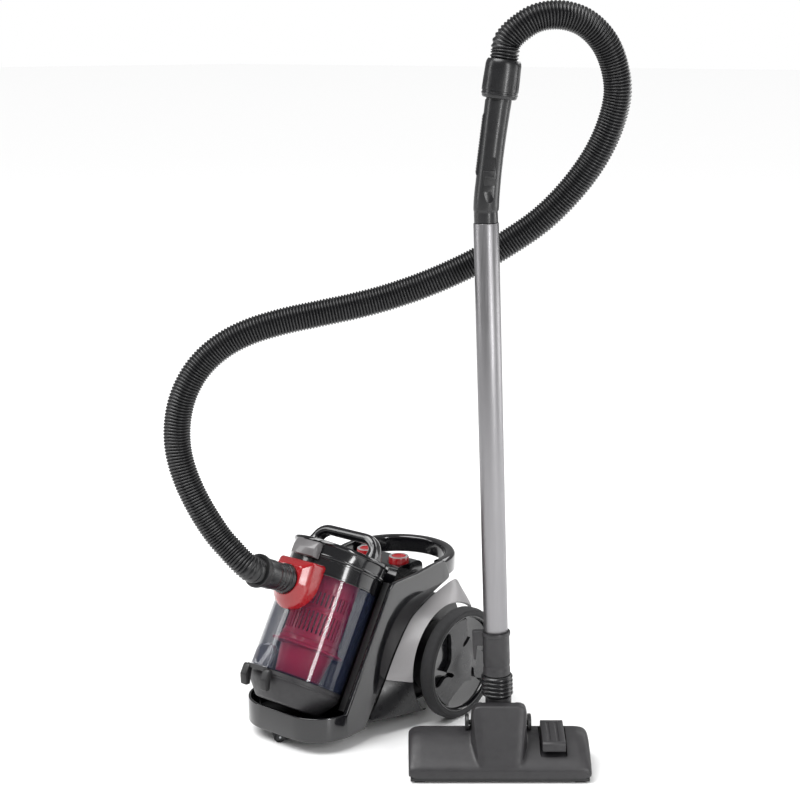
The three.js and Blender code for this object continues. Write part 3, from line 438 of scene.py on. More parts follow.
def drawn_steel_tube():
    """Drawn steel tube with satin chrome plate: brush lines run along it."""
    made = surface("satin_chrome", "#8E8D8F", 0.4, Metallic=1.0, Anisotropic=0.3)
    lines = grain(made, 1.2, 2, (1, 1, 0.02))
    worn(made, lines, 0.34, 0.46)
    bumped(made, lines, 0.01, 0.35)
    return made


def turned_steel():
    """Plain turned steel."""
    made = surface("turned_steel", "#B0B2B5", 0.3, Metallic=1.0)
    bumped(made, grain(made, 0.8, 2), 0.01, 0.5)
    return made


def blown_hose():
    """Corrugated EVA hose: satin black, with a slightly oily sheen on the ridges."""
    made = surface("corrugated_eva", "#0D0D0F", 0.3, IOR=1.5)
    worn(made, grain(made, 25, 3), 0.28, 0.42)
    return made


def pleated_fleece():
    """White filter fleece: fibrous and soft."""
    made = surface("filter_fleece", "#D9D8D0", 0.95, Sheen_Weight=0.4)
    bumped(made, grain(made, 0.5, 4), 0.2, 0.8)
    return made


GLOSS = polished_abs("polished_black_abs", "#0B0B0D", "#121215", 0.11)
SATIN = eroded_abs("satin_black_abs", "#0E0E10", "#161618", 0.3, 2.0, 0.01)
PEARL = polished_abs("grey_satin_abs", "#5A5859", "#676566", 0.3)
BLACK = eroded_abs("black_abs", "#0E0E0F", "#161618", 0.45)
GREY = eroded_abs("dark_grey_abs", "#201F21", "#2A292B", 0.48)
DISC = eroded_abs("wheel_black_abs", "#1B1B1D", "#232325", 0.3, 1.1, 0.02)
RED = polished_abs("polished_red_abs", "#8C0711", "#A00B16", 0.18)
CYCLONE = polished_abs("cyclone_red_abs", "#D3164A", "#E01C55", 0.34)
SILVER = metallic_lacquer()
SMOKE = smoked_polycarbonate()
RUBBER = tumbled_rubber()
CHROME = drawn_steel_tube()
STEEL = turned_steel()
HOSE = blown_hose()
FLEECE = pleated_fleece()


# ------------------------------------------------------------------ sizes shared with the frame
BIN_R, BIN_INNER = 73, 70.4
FLAP_TOP, CLEAR_TOP, COLLAR_TOP, COVER_TOP = 42, 198, 224, 248
PORT_BORE = 19.4
BODY_HALF, ARM_THICK = 92, 7
ARM_REAR = [(66, 208), (34, 198), (-4, 184), (-38, 165), (-74, 123), (-98, 85), (-131, 40), (-143, 20)]
BUTTON_R, BUTTON_TOP, BUTTON_X = 16, 246, 33
TUBE_R, TUBE_FROM, TUBE_TO = 17.5, 104, 730
HOSE_R, HOSE_INNER, HOSE_PITCH, RIB_DEPTH, HOSE_SIDES = 19.5, 16.4, 4.4, 2.1, 28
CUFF_X, CUFF_Z, CUFF_LEAN = 21, TUBE_TO + 165, 0.16
TO_CANISTER = CANISTER.inverted()
TILT = math.asin(JOINTS["bin_lift"]["axis"][1])


def from_bin(s, t):
    """Canister y and z at height s along the bin's axis and t behind it."""
    point = TO_CANISTER @ (BIN @ Vector((0, t, s)))
    return point.y, point.z


def back_line(t, z):
    """Canister y and z of the point at height z on the line t behind the bin's axis."""
    y0, z0 = from_bin(0, t)
    return y0 + (z - z0) * math.tan(TILT), z


def brought(obj, source, target):
    """The piece taken from one frame's millimetres to another's."""
    only(obj)
    obj.matrix_world = target.inverted() @ source @ obj.matrix_world
    bpy.ops.object.transform_apply(location=True, rotation=True, scale=True)
    return obj


def smooth_line(points, steps=8):
    """Points of the smooth line that runs through the given ones, of any dimension."""
    result = []
    rows = [Vector(p) for p in points]
    last = len(rows) - 1
    for i in range(last):
        a, b, c, d = (rows[max(0, min(last, i + k))] for k in (-1, 0, 1, 2))
        for k in range(steps):
            t = k / steps
            bend = (2 * a - 5 * b + 4 * c - d) * t * t + (3 * b - a - 3 * c + d) * t ** 3
            result.append((2 * b + (c - a) * t + bend) / 2)
    return result + [rows[-1]]


def evenly(points, step):
    """Points at equal distances along a line of points."""
    result, left = [points[0]], step
    for a, b in zip(points, points[1:]):
        length = (b - a).length
        while left <= length:
            result.append(a.lerp(b, left / length))
            left += step
        left -= length
    return result


# ------------------------------------------------------------------ hose
HOSE_ROUTE = [
    (0, -268.7, 282.3), (0, -280, 287.6), (0, -290, 292.3), (-9, -298, 303), (-23, -305, 319),
    (-40, -316, 343), (-58, -333, 386), (-72, -345, 430), (-80, -350, 472), (-80, -348, 514),
    (-73, -339, 553), (-59, -322, 588), (-37, -299, 616), (-9, -271, 636), (25, -236, 650),
    (60, -200, 660), (95, -165, 670), (131, -129, 683), (173, -90, 703), (217, -49, 730),
    (257, -17, 760), (295, 10, 794), (329, 31, 836), (358, 43, 881), (378, 48, 926),
    (389, 46, 970), (388, 34, 1010), (381, 16, 1040), (366, -7, 1062), (345, -31, 1071),
    (322, -53, 1067), (303, -69, 1052), (291.4, -77.8, 1036), (289.3, -79.6, 1021),
    (287.4, -81.2, 1001.4), (285.4, -82.8, 981.3), (283.9, -83.9, 966.2),
]
RIB = (0, 0.35, 0.85, 1, 0.85, 0.35)


def tube_rings(points, radii, sides):
    """Rings round a line of points, without twist from one to the next."""
    rings = []
    across = None
    for i, point in enumerate(points):
        ahead = points[min(i + 1, len(points) - 1)] - points[max(i - 1, 0)]
        ahead.normalize()
        across = ahead.orthogonal() if across is None else across - ahead * across.dot(ahead)
        across.normalize()
        other = ahead.cross(across)
        turns = [math.tau * k / sides for k in range(sides)]
        rings.append([point + radii[i] * (across * math.cos(t) + other * math.sin(t)) for t in turns])
    return rings


def make_hose():
    line = evenly(smooth_line(HOSE_ROUTE, 16), HOSE_PITCH / len(RIB))
    radii = [HOSE_R - RIB_DEPTH * (1 - RIB[i % len(RIB)]) for i in range(len(line))]
    outside = tube_rings(line, radii, HOSE_SIDES)
    bore = line[::len(RIB)]
    inside = tube_rings(bore, [HOSE_INNER] * len(bore), HOSE_SIDES)
    hose = skin("corrugated_hose", outside + inside[::-1], closed=True)
    settled(hose, CANISTER, HOSE, "hose", sharp=60)


def hose_fittings():
    """Plug with its flange and moulded steps, the turning collar and the handle's cuff."""
    plug = turned("hose_plug_moulding", softened([
        (16.5, -24), (18.4, -24), (19, -22.5), (19, 0.3), (22, 0.3), (22.5, 1), (22.5, 6), (21.6, 7.2),
        (20.2, 8.2), (20, 11), (20.9, 12), (20.9, 15), (20, 16), (20, 19), (20.9, 20), (20.9, 23),
        (20, 24), (20, 30), (21.4, 32.4), (22, 34), (22, 52.8), (21.2, 54), (16.5, 54),
        (16.5, -24)], 0.5, 2, False))
    settled(plug, PORT, SATIN, "hose_plug")
    collar = turned("turning_collar", [
        (16.5, 54.3), (22.4, 54.3), (23, 55), (23, 59.6), (23.6, 60.8), (25, 61.6), (25, 65.4),
        (24.2, 66.3), (20, 66.3), (20, 57.3), (16.5, 57.3), (16.5, 54.3)])
    settled(collar, PORT, BLACK, "plug_collar")
    wide = HOSE_R + 5.5
    cuff = turned("grip_cuff", [
        (20.5, 0), (21, 0), (22.6, 0.6), (23.8, 2.2), (24.1, 4.6), (24.9, 5.2), (24.9, 6.8),
        (24.2, 7.4), (24.2, 9.4), (25, 10), (wide, 12), (wide - 0.2, 26), (wide - 0.7, 40), (24.2, 45),
        (23.5, 48.4), (22.4, 50.8), (21.4, 52), (20.5, 52), (20.5, 0)], 120)
    flutes = []
    for k in range(30):
        flute = block("flute", (wide - 0.35, -1.3, 14), (wide + 2, 1.3, 39))
        flutes.append(moved(flute, turn=k * 12))
    cut(cuff, joined(flutes))
    moved(cuff, (0, 0, 2))
    moved(cuff, (CUFF_X, 0, CUFF_Z), math.degrees(CUFF_LEAN), "Y")
    settled(cuff, WAND, SATIN, "hose_cuff")
    return [plug, collar, cuff]


# ------------------------------------------------------------------ canister body
def plan(half, front, radius, rear):
    left = arc((-half + radius, front + radius), radius, 180, 270, 24)
    return [(-half, rear), *left, *arc((half - radius, front + radius), radius, 270, 360, 24), (half, rear)]


def body_frame():
    lip = prism("body_moulding", plan(BODY_HALF, -242, 60, -143), 20, 58)
    cut(lip, prism("lip_inside", plan(BODY_HALF - 4, -238, 56, -130), 10, 70))
    rounded(lip, 1.4, 3)
    side = [back_line(28, 50), back_line(28, 233), (-22, 234), (20, 239), (52, 240), *ARM_REAR,
            (back_line(28, 58)[0], 20)]
    right = slab("arm", softened(side, 9, 5), BODY_HALF - ARM_THICK, BODY_HALF)
    rounded(right, 1.6, 3, 50)
    left = mirrored(right, "other_arm")
    loop = turned("loop", softened([
        (76, 214), (76, 238), (80, 240), (88, 240), (92, 236), (92, 212), (78, 212),
        (76, 214)], 2, 3, False), 128)
    cut(loop, block("front_half", (-120, -120, 0), (120, -3, 400)))
    moved(loop, (0, 46, 0))
    fused(lip, right, left, loop)
    return settled(lip, CANISTER, GLOSS, "body_frame")


def button_block():
    back, brim = 84.6, 79.5
    front = back_line(brim, 236)[0]
    button_y = front + 23.5
    side = [back_line(back, 178.3), from_bin(COLLAR_TOP + 0.6, back), from_bin(COLLAR_TOP + 0.6, brim),
            (front, 236), (front + 49.5, 236), (front + 59.5, 230), (front + 61.5, 178.3)]
    piece = slab("button_housing", softened(side, 5, 4), -52, 52)
    for x in (BUTTON_X, -BUTTON_X):
        well = [(0, 214), (16.5, 214), (16.5, 233), (19, 236.5), (22, 240), (0, 240), (0, 214)]
        cut(piece, moved(turned("well", well, 64), (x, button_y, 0)))
        cut(piece, moved(turned("stem_room", [(0, 150), (6.9, 150), (6.9, 220), (0, 220), (0, 150)], 32),
                         (x, button_y, 0)))
    rounded(piece, 1.6, 3, 35)
    settled(piece, CANISTER, GLOSS, "button_block")
    cap = [
        (0, 243.6), (9, 243.9), (10.6, 244.4), (11.2, 245.4), (13.6, BUTTON_TOP), (15.2, 245.4),
        (BUTTON_R, 243.6), (BUTTON_R, 224.6), (15.4, 224), (6.4, 224), (6.4, 172), (0, 172), (0, 243.6)]
    ring = [
        (11.4, 245.5), (13.6, 246), (15.2, 245.5), (15.4, 245), (13.6, 245.2), (11.6, 245),
        (11.4, 245.5)]
    for x, name, node_name in ((BUTTON_X, "power_key", "power_button"),
                               (-BUTTON_X, "rewind_key", "rewind_button")):
        key = moved(turned(name, cap), (x, button_y, 0))
        settled(key, CANISTER, RED, node_name)
        settled(moved(turned(name + "_ring", ring), (x, button_y, 0)), CANISTER, SILVER, node_name)


# crescent panel and skirt: a skin between the arm's rear edge, given as y and z, and the arch
# over the wheel, which it meets at these degrees round the axle
FENDER_EDGE = [(92, 186), (76, 202), (36, 195), (-4, 181), (-38, 162), (-72, 121), (-96, 84), (-118, 52),
            (-134, 30), (-120, 27)]
FENDER_TURN = [-38, -20, 2, 24, 46, 70, 97, 116, 132, 140]
ARCH_R, ARCH_X = 92, 120
FENDER_STEPS, FENDER_SWELL, FENDER_WALL = 8, 1.2, 4


def fender_ring(y, z, turn):
    """The wall's section at one station, from the arm out to the arch and back inside."""
    beta = math.radians(turn)
    yb = AXLE_Y - ARCH_R * math.sin(beta)
    zb = max(WHEEL_R + ARCH_R * math.cos(beta), 24)
    x0 = BODY_HALF + 0.5
    length = math.hypot(yb - y, zb - z)
    outer, inner = [], []
    for k in range(FENDER_STEPS + 1):
        f = k / FENDER_STEPS
        swell = FENDER_SWELL * math.sin(math.pi * f)
        x = x0 + (ARCH_X - x0) * f
        outer.append((x + swell, y + (yb - y) * f, z + (zb - z) * f))
        deep = f + FENDER_WALL / length * (1 - 0.3 * f)
        inner.append((max(x0, x - 3 * f), y + (yb - y) * deep, z + (zb - z) * deep))
    return outer + inner[::-1]


def fender(name, first, last, material, node_name):
    stations = [(*FENDER_EDGE[i], FENDER_TURN[i]) for i in range(first, last + 1)]
    line = smooth_line(stations, 10)
    line[-1] = line[-1].lerp(line[-2], 0.3)
    piece = skin(name, [fender_ring(*station) for station in line])
    twin = mirrored(piece, name + "_left")
    settled(piece, CANISTER, material, node_name + "_right", sharp=40)
    settled(twin, CANISTER, material, node_name + "_left", sharp=40)


# ------------------------------------------------------------------ wheels
def wheels():
    tyre = turned("tyre_moulding", [
        (76, 0.6), (76.6, 0), (82, 0), (83, 0.8), (84.6, 0.8), (86, 2), (87.4, 4), (88, 7), (88, 15),
        (87.4, 18), (86, 20.2), (84.4, 21.2), (82.8, 21.2), (82.4, 22), (78.4, 22), (77.8, 21.4),
        (76.6, 21.4), (76, 20.6), (76, 0.6)], 160)
    disc = turned("wheel_moulding", [
        (5.5, 0), (18, 0), (18, 8), (70.5, 9), (75, 2), (75.7, 2), (75.7, 21), (74.6, 21), (73.8, 20.2),
        (73.6, 17.4), (71.6, 14), (60, 11), (22, 11.9), (5.5, 11.9), (5.5, 0)], 128)
    plate = turned("lobed_plate", [
        (5.5, 12), (68, 12), (69.6, 13), (69.4, 16), (60, 17.6), (40, 18.4), (24, 18.8), (20, 20.4),
        (14, 21.6), (6, 21.9), (0, 21.9), (0, 20.4), (5.5, 20.4), (5.5, 12)], 128)
    for k in range(3):
        lead = 120 * k + 35
        bow = [(71, 58), (71, 72), (71, 88), (71, 104), (71, 120), (71, 132), (60, 134), (48, 126),
               (38, 112), (33, 96), (36, 80), (44, 67), (54, 58), (64, 54)]
        leaf = [(26, 26), (30, 10), (40, 0), (50, -3), (60, 2), (66, 14), (58, 14), (48, 10), (40, 12),
                (32, 24)]
        for outline in (bow, leaf):
            loop = smooth_line([(r * math.cos(math.radians(a + lead)), r * math.sin(math.radians(a + lead)))
                                for r, a in outline + outline[:1]], 4)[:-1]
            cut(plate, rounded(prism("swoosh", [tuple(p) for p in loop], 10, 25), 0.4, 1, 60))
    rounded(plate, 0.9, 2, 40)
    finished = ((tyre, RUBBER, "tyre"), (disc, GLOSS, "wheel_disc"), (plate, DISC, "wheel_disc"))
    for piece, material, node_name in finished:
        moved(piece, (WHEEL_BACK, 0, 0), 90, "Y")
        moved(piece, (0, AXLE_Y, WHEEL_R))
        twin = mirrored(piece, piece.name + "_left")
        settled(piece, CANISTER, material, node_name + "_right")
        settled(twin, CANISTER, material, node_name + "_left")


def caster():
    refined("caster_fork", SATIN, 0.6)
    painted("caster_pin", STEEL)
    pivot = JOINTS["caster_roll"]
    place = frame_at(pivot["pos_m"], pivot["axis"], UP)
    roller = turned("caster_roller_moulding", [
        (2, -6), (4, -6), (4.6, -5.4), (7.4, -5.4), (8, -6), (8.8, -5.8), (9.5, -4.6), (9.5, 4.6),
        (8.8, 5.8), (8, 6), (7.4, 5.4), (4.6, 5.4), (4, 6), (2, 6), (2, -6)], 64)
    settled(roller, place, RUBBER, "caster_roller")


# ------------------------------------------------------------------ dust bin
def port_ring(z, grow, drop, steps=40):
    """The port's outline at distance z from its mouth: a D with its flat side up."""
    r, top = 24.5 + grow, 23.5 + grow
    low = [(r * math.cos(t), (r + drop) * math.sin(t)) for t in
           (math.pi + math.pi * k / steps for k in range(steps + 1))]
    corner = 5
    right = [(r - corner + corner * math.cos(t), top - corner + corner * math.sin(t)) for t in
             (math.pi / 2 * k / 6 for k in range(7))]
    return [(x, y, z) for x, y in low + right + [(-x, y) for x, y in right[::-1]]]


def port_shape(name, extra=0):
    stations = [(-48, 10, 8), (-30, 10, 8), (-20, 10, 8), (-15.5, 9.8, 7.9), (-13, 8.8, 7), (-8, 5.2, 3.6),
                (-3, 1.6, 0.8), (-0.8, 0.4, 0), (0, -0.8, 0)]
    return skin(name, [port_ring(z if z < 0 else extra, grow + extra, drop) for z, grow, drop in stations])


def cylinder(name, radius, low, high, steps=96):
    return turned(name, [(0, low), (radius, low), (radius, high), (0, high), (0, low)], steps)


def port_room(name, extra):
    """What the port takes out of the pieces round it, in the bin's frame."""
    return fused(brought(port_shape(name, extra), PORT, BIN),
                 brought(cylinder("bore_room", 20, -120, 20), PORT, BIN))


def bin_pieces():
    clear = turned("bin_bowl", [
        (BIN_INNER, FLAP_TOP + 0.3), (BIN_R, FLAP_TOP + 0.3), (BIN_R, 46), (BIN_R - 0.5, 46.6),
        (BIN_R - 0.5, CLEAR_TOP), (BIN_INNER, CLEAR_TOP), (BIN_INNER, FLAP_TOP + 0.3)], 128)
    outside = cylinder("bin_inside", BIN_R - 1.2, -20, 400, 128)
    room = cut(port_room("port_room", 0.3), copied(outside, "keep"))
    cut(clear, copied(room, "room_a"), brought(cylinder("bore", 20, -120, 20), PORT, BIN))
    settled(clear, BIN, SMOKE, "bin_canister")
    collar = turned("bin_collar_moulding", [
        (BIN_INNER, CLEAR_TOP + 0.3), (BIN_R + 0.8, CLEAR_TOP + 0.3), (BIN_R + 1.5, CLEAR_TOP + 1),
        (BIN_R + 1.5, CLEAR_TOP + 3), (BIN_R + 0.6, CLEAR_TOP + 3.6), (BIN_R + 0.6, COLLAR_TOP - 3.4),
        (BIN_R + 1.5, COLLAR_TOP - 2.6), (BIN_R + 1.5, COLLAR_TOP - 0.6), (BIN_R + 0.9, COLLAR_TOP),
        (BIN_INNER, COLLAR_TOP), (BIN_INNER, CLEAR_TOP + 0.3)], 128)
    cut(collar, room, brought(cylinder("bore", 20, -120, 20), PORT, BIN))
    settled(collar, BIN, GLOSS, "bin_collar")
    bpy.data.objects.remove(outside)
    port = port_shape("inlet_moulding")
    cut(port, brought(cylinder("wall", BIN_R + 0.3, -50, 400, 128), BIN, PORT),
        cylinder("bore", PORT_BORE, -120, 20, 64),
        turned("mouth_step", [(0, -1.6), (22.9, -1.6), (22.9, 5), (0, 5), (0, -1.6)], 64))
    rounded(port, 0.5, 2, 40)
    settled(port, PORT, RED, "inlet_port")
    flap = turned("bin_flap_moulding", [
        (0, 0), (44, 0), (48, 0.6), (51, 3), (70.6, 26.6), (72.6, 30), (73, 32), (72.2, 33), (72.2, 35),
        (73, 36), (73, 41.2), (72.2, FLAP_TOP), (69, FLAP_TOP), (69, 31), (47, 6), (0, 4),
        (0, 0)], 128)
    settled(flap, BIN, GREY, "bin_flap")
    cover = turned("bin_cover_moulding", [
        (0, 246.4), (56, 246.4), (58, 246.9), (60, 247.9), (62, COVER_TOP), (75.2, COVER_TOP),
        (76.4, 247.5), (77, 246.4), (77, 243.4), (76.2, 242.4), (74.8, 241.6), (74.4, 240), (73.9, 228),
        (74.4, 227.2), (74.4, 225.4), (73.8, 224.3), (69, 224.3), (69, 244), (0, 244),
        (0, 246.4)], 128)
    notch = block("notch", (-22, -90, 218), (22, -71, 242))
    cut(cover, notch)
    settled(cover, BIN, GLOSS, "bin_cover")


def carry_handle():
    """The bin's handle: a broad strap whose feet spread on the cover."""
    half, low, top = 60, COVER_TOP + 0.3, COVER_TOP + 34.2
    corner = 24
    route = [(-half, low), (-half, top - 5 - corner),
             *[(-half + corner - corner * math.cos(t), top - 5 - corner + corner * math.sin(t)) for t in
               (math.pi / 2 * k / 8 for k in range(1, 9))],
             *[(half - corner + corner * math.sin(t), top - 5 - corner + corner * math.cos(t)) for t in
               (math.pi / 2 * k / 8 for k in range(9))],
             (half, low)]
    rings = []
    for i, (x, s) in enumerate(route):
        before, after = route[max(i - 1, 0)], route[min(i + 1, len(route) - 1)]
        along = Vector((after[0] - before[0], after[1] - before[1])).normalized()
        out = Vector((-along.y, along.x))
        ring = []
        for k in range(24):
            turn = math.tau * k / 24
            spread = 1 + 0.35 * max(0, 1 - (s - low) / 14)
            thick = math.copysign(abs(math.cos(turn)) ** 0.7 * 7.6 * spread, math.cos(turn))
            wide = math.copysign(abs(math.sin(turn)) ** 0.7 * 11 * spread, math.sin(turn))
            ring.append((x + out.x * thick, 2 + wide, s + out.y * thick))
        rings.append(ring)
    strap = skin("bin_handle_moulding", rings)
    settled(strap, BIN, GLOSS, "bin_handle", sharp=45)


def release_button():
    side = [(-71.5, 217), (-88.5, 217), (-89, 229), (-84, 241), (-71.5, 241)]
    key = slab("release_key", softened(side, 1.2, 3), -21, 21)
    cut(key, cylinder("brim", BIN_R + 2.3, 0, 300, 128), port_room("port_gap", 0.5))
    rounded(key, 0.7, 2, 40)
    settled(key, BIN, PEARL, "release_button")


def cyclone():
    shroud = turned("shroud_moulding", [
        (41.5, 102), (44, 102), (44, 104), (45.6, 104.6), (45.6, 108), (44, 108.6), (44, 148),
        (44.8, 148.6), (44.8, 152), (44, 152.6), (44, 218), (41.5, 218), (41.5, 102)], 96)
    slots = []
    for k in range(40):
        for low, high in ((113, 145), (156, 176)):
            slots.append(moved(block("slot", (40, -1.3, low), (50, 1.3, high)), turn=k * 9))
    cut(shroud, joined(slots))
    settled(shroud, BIN, CYCLONE, "cyclone_shroud")
    cone = turned("cone_moulding", [
        (32, 46), (34, 46), (35, 48), (41, 88), (55.4, 90.6), (56, 91.4), (56, 93), (55.2, 93.8),
        (48, 96), (46, 101.7), (36, 101.7), (32, 46)], 96)
    settled(cone, BIN, CYCLONE, "cyclone_cone")
    painted("filter_cartridge", FLEECE)


def bin_catch():
    """The clear latch plate over the two prongs of the flap's clamp."""
    x, foot, half = -8, FLAP_TOP + 1, 17
    outline = [(x - half, foot), (x + half, foot), *arc((x, foot + half), half, 0, 180, 24)]
    plate = moved(prism("latch_moulding", outline, 0, 22), (0, -BIN_R + 14, 0), 90, "X")
    rim = [(x + (px - x) * 0.8, foot + 3 + (pz - foot - 3) * 0.86) for px, pz in outline]
    cut(plate, moved(prism("dish", rim, 21, 30), (0, -BIN_R + 14, 0), 90, "X"),
        cylinder("bowl", BIN_R + 0.3, 0, 120, 128))
    rounded(plate, 0.8, 2, 40)
    settled(plate, BIN, SMOKE, "latch_plate")
    bar = block("clamp_moulding", (x - 20, -BIN_R - 12, FLAP_TOP - 7), (x + 20, -BIN_R - 7, FLAP_TOP - 1))
    prongs = []
    for px in (x - 20, x + 20):
        side = [(-6.5, 40), (-12, 40), (-14, 37), (-14, 22), (-4.4, 8), (3, 12), (-1, 22)]
        prong = slab("prong", softened([(y - BIN_R, z) for y, z in side], 2, 3), px - 6, px + 6)
        prongs.append(rounded(prong, 1.2, 2, 40))
    fused(bar, *prongs)
    cut(bar, cylinder("flap_room", BIN_R + 0.5, -20, 100, 128))
    settled(bar, BIN, BLACK, "flap_latch")


# ------------------------------------------------------------------ handle, wand and neck
# height above the tube, sideways, half width, half depth and lean of each section
HANDLE = [(1, 0, 16.5, 16.5, 0), (10, 0, 16.5, 16.5, 0), (16, 0, 16.5, 16.5, 0), (20, 0.5, 17.5, 18, 0.06),
          (38, 2, 17.5, 19, 0.08), (70, 6, 17, 19, 0.12), (105, 11, 17, 19, 0.15),
          (140, 16.5, 17.5, 19, CUFF_LEAN), (164, 20.5, 18, 19.5, CUFF_LEAN)]
GRIP_WALL = 2.8


def oval_ring(z, x, half, depth, tip, inset=0, sides=48):
    ring = []
    for k in range(sides):
        turn = math.tau * k / sides
        across = (half - inset) * math.cos(turn)
        ring.append((x + across * math.cos(tip), (depth - inset) * math.sin(turn),
                     TUBE_TO + z - across * math.sin(tip)))
    return ring


def handle():
    stations = smooth_line(HANDLE, 6)
    grip = skin("grip_moulding", [oval_ring(*s) for s in stations])
    rings = [oval_ring(*s, GRIP_WALL) for s in stations]
    rings[0] = oval_ring(stations[0][0] - 5, *list(stations[0])[1:], GRIP_WALL)
    rings[-1] = oval_ring(stations[-1][0] + 5, *list(stations[-1])[1:], GRIP_WALL)
    cut(grip, skin("grip_inside", rings))
    bed = block("bed", (-4, -30, TUBE_TO + 44), (14, -16.6, TUBE_TO + 90))
    dish = turned("recess", [(0, -30), (9, -30), (9, 0), (7.6, 1), (0, 1), (0, -30)], 64)
    recess = moved(moved(dish, stretch=(1, 1.7, 1)), (5, -17.6, TUBE_TO + 44), -90, "X")
    pocket = strip("pocket", 0.3)
    cut(grip, bed, block("hole", (2, -30, TUBE_TO + 56), (8, -5, TUBE_TO + 64)), pocket)
    spigot = turned("spigot", [(14.5, -8), (17.4, -8), (17.4, 6), (14.5, 6), (14.5, -8)], 64)
    fused(grip, moved(spigot, (CUFF_X, 0, CUFF_Z - 1), math.degrees(CUFF_LEAN), "Y"))
    cut(grip, recess)
    rounded(grip, 0.5, 2, 50)
    settled(grip, WAND, SATIN, "handle_grip", sharp=40)
    ribs = []
    for k in range(19):
        z = TUBE_TO + 72 + k * 3.9
        x = 6 + (z - TUBE_TO - 70) * 0.15 - 18.8
        ribs.append(block("rib_gap", (x - 2, -7, z), (x + 0.7, 7, z + 1.4)))
    ribs = joined(ribs)
    pad = cut(strip("grip_strip_moulding", 0), ribs)
    settled(pad, WAND, SATIN, "grip_strip")
    refined("air_slider", BLACK, 0.5)


def strip(name, extra):
    """The ribbed strip in the handle's back, grown by extra for its pocket."""
    foot = TUBE_TO + 66

    def ring(z, out):
        x = 6 + (z - foot - 4) * 0.15
        left, right, half = x - 17.6 - out - extra, x - 15.6 + extra, 5.8 + extra
        return [(left, -half, z), (right, -half, z), (right, half, z), (left, half, z)]
    low, high = foot - extra, foot + 82 + extra
    return skin(name, [ring(low, 0), ring(low + 4, 1.2), ring(high - 4, 1.2), ring(high, 0)])


def wand():
    tube = turned("drawn_tube", [
        (16.3, TUBE_FROM), (17.2, TUBE_FROM), (TUBE_R, TUBE_FROM + 0.5), (TUBE_R, TUBE_TO - 0.5),
        (17.2, TUBE_TO), (16.3, TUBE_TO), (16.3, TUBE_FROM)], 96)
    settled(tube, WAND, CHROME, "wand_tube")
    socket = turned("socket_moulding", [
        (15, 76), (18.6, 76), (19.5, 77), (19.5, 86), (18.9, 87), (18.9, 91), (19.5, 92), (19.5, 135),
        (20.6, 135.8), (21, 137), (21, 139.6), (20.4, 141), (17.8, 141), (17.8, 103.7), (15, 103.7),
        (15, 76)], 96)
    base = rounded(block("hook_base", (-32, -6, 121), (-18, 6, 143)), 1.5, 3)
    prong = skin("prong", [[(x0 - 19.5, -y, 141 + z), (x1 - 19.5, -y, 141 + z), (x1 - 19.5, y, 141 + z),
                            (x0 - 19.5, y, 141 + z)] for x0, x1, y, z in
                           ((-14.5, -7.5, 5, 1.6), (-14.6, -7.9, 5, -10), (-14.5, -8.5, 5, -22),
                            (-13.5, -10.2, 3, -42))])
    rounded(prong, 1.2, 3, 30)
    fused(socket, base, prong)
    cut(socket, cylinder("tube_room", 17.8, 103.7, 200, 96))
    settled(socket, WAND, GREY, "neck_socket")
    rings = [(14, 44)]
    for k in range(5):
        z = 44 + k * 6.2
        rings += [(20.6, z + 0.1), (21.4, z + 0.6), (22.6, z + 1.8), (23, z + 3.1), (22.6, z + 4.4),
                  (21.4, z + 5.6), (20.6, z + 6.1)]
    collar = turned("ribbed_collar", rings + [(20.6, 75.6), (14, 75.6), (14, 44)])
    settled(collar, WAND, SATIN, "swivel_collar")
    refined("neck_yoke", GREY, 0.8)


# ------------------------------------------------------------------ floor head
HEAD_HALF, HEAD_FRONT, HEAD_REAR, SKIRT = 131, -63, 44, 21


def wing_ring(x, scale, drop):
    """The wings' section: a sloping front, a rounded ridge and a rear face."""
    points = softened([(HEAD_FRONT, 8), (HEAD_FRONT, SKIRT), (-55, 29), (-26, 47.5), (-8, 56), (18, 56),
                       (HEAD_REAR, 35), (HEAD_REAR, 8)], 9, 4)
    middle = -9
    return [(x, middle + (y - middle) * scale, 8 + (z - 8) * drop) for y, z in points]


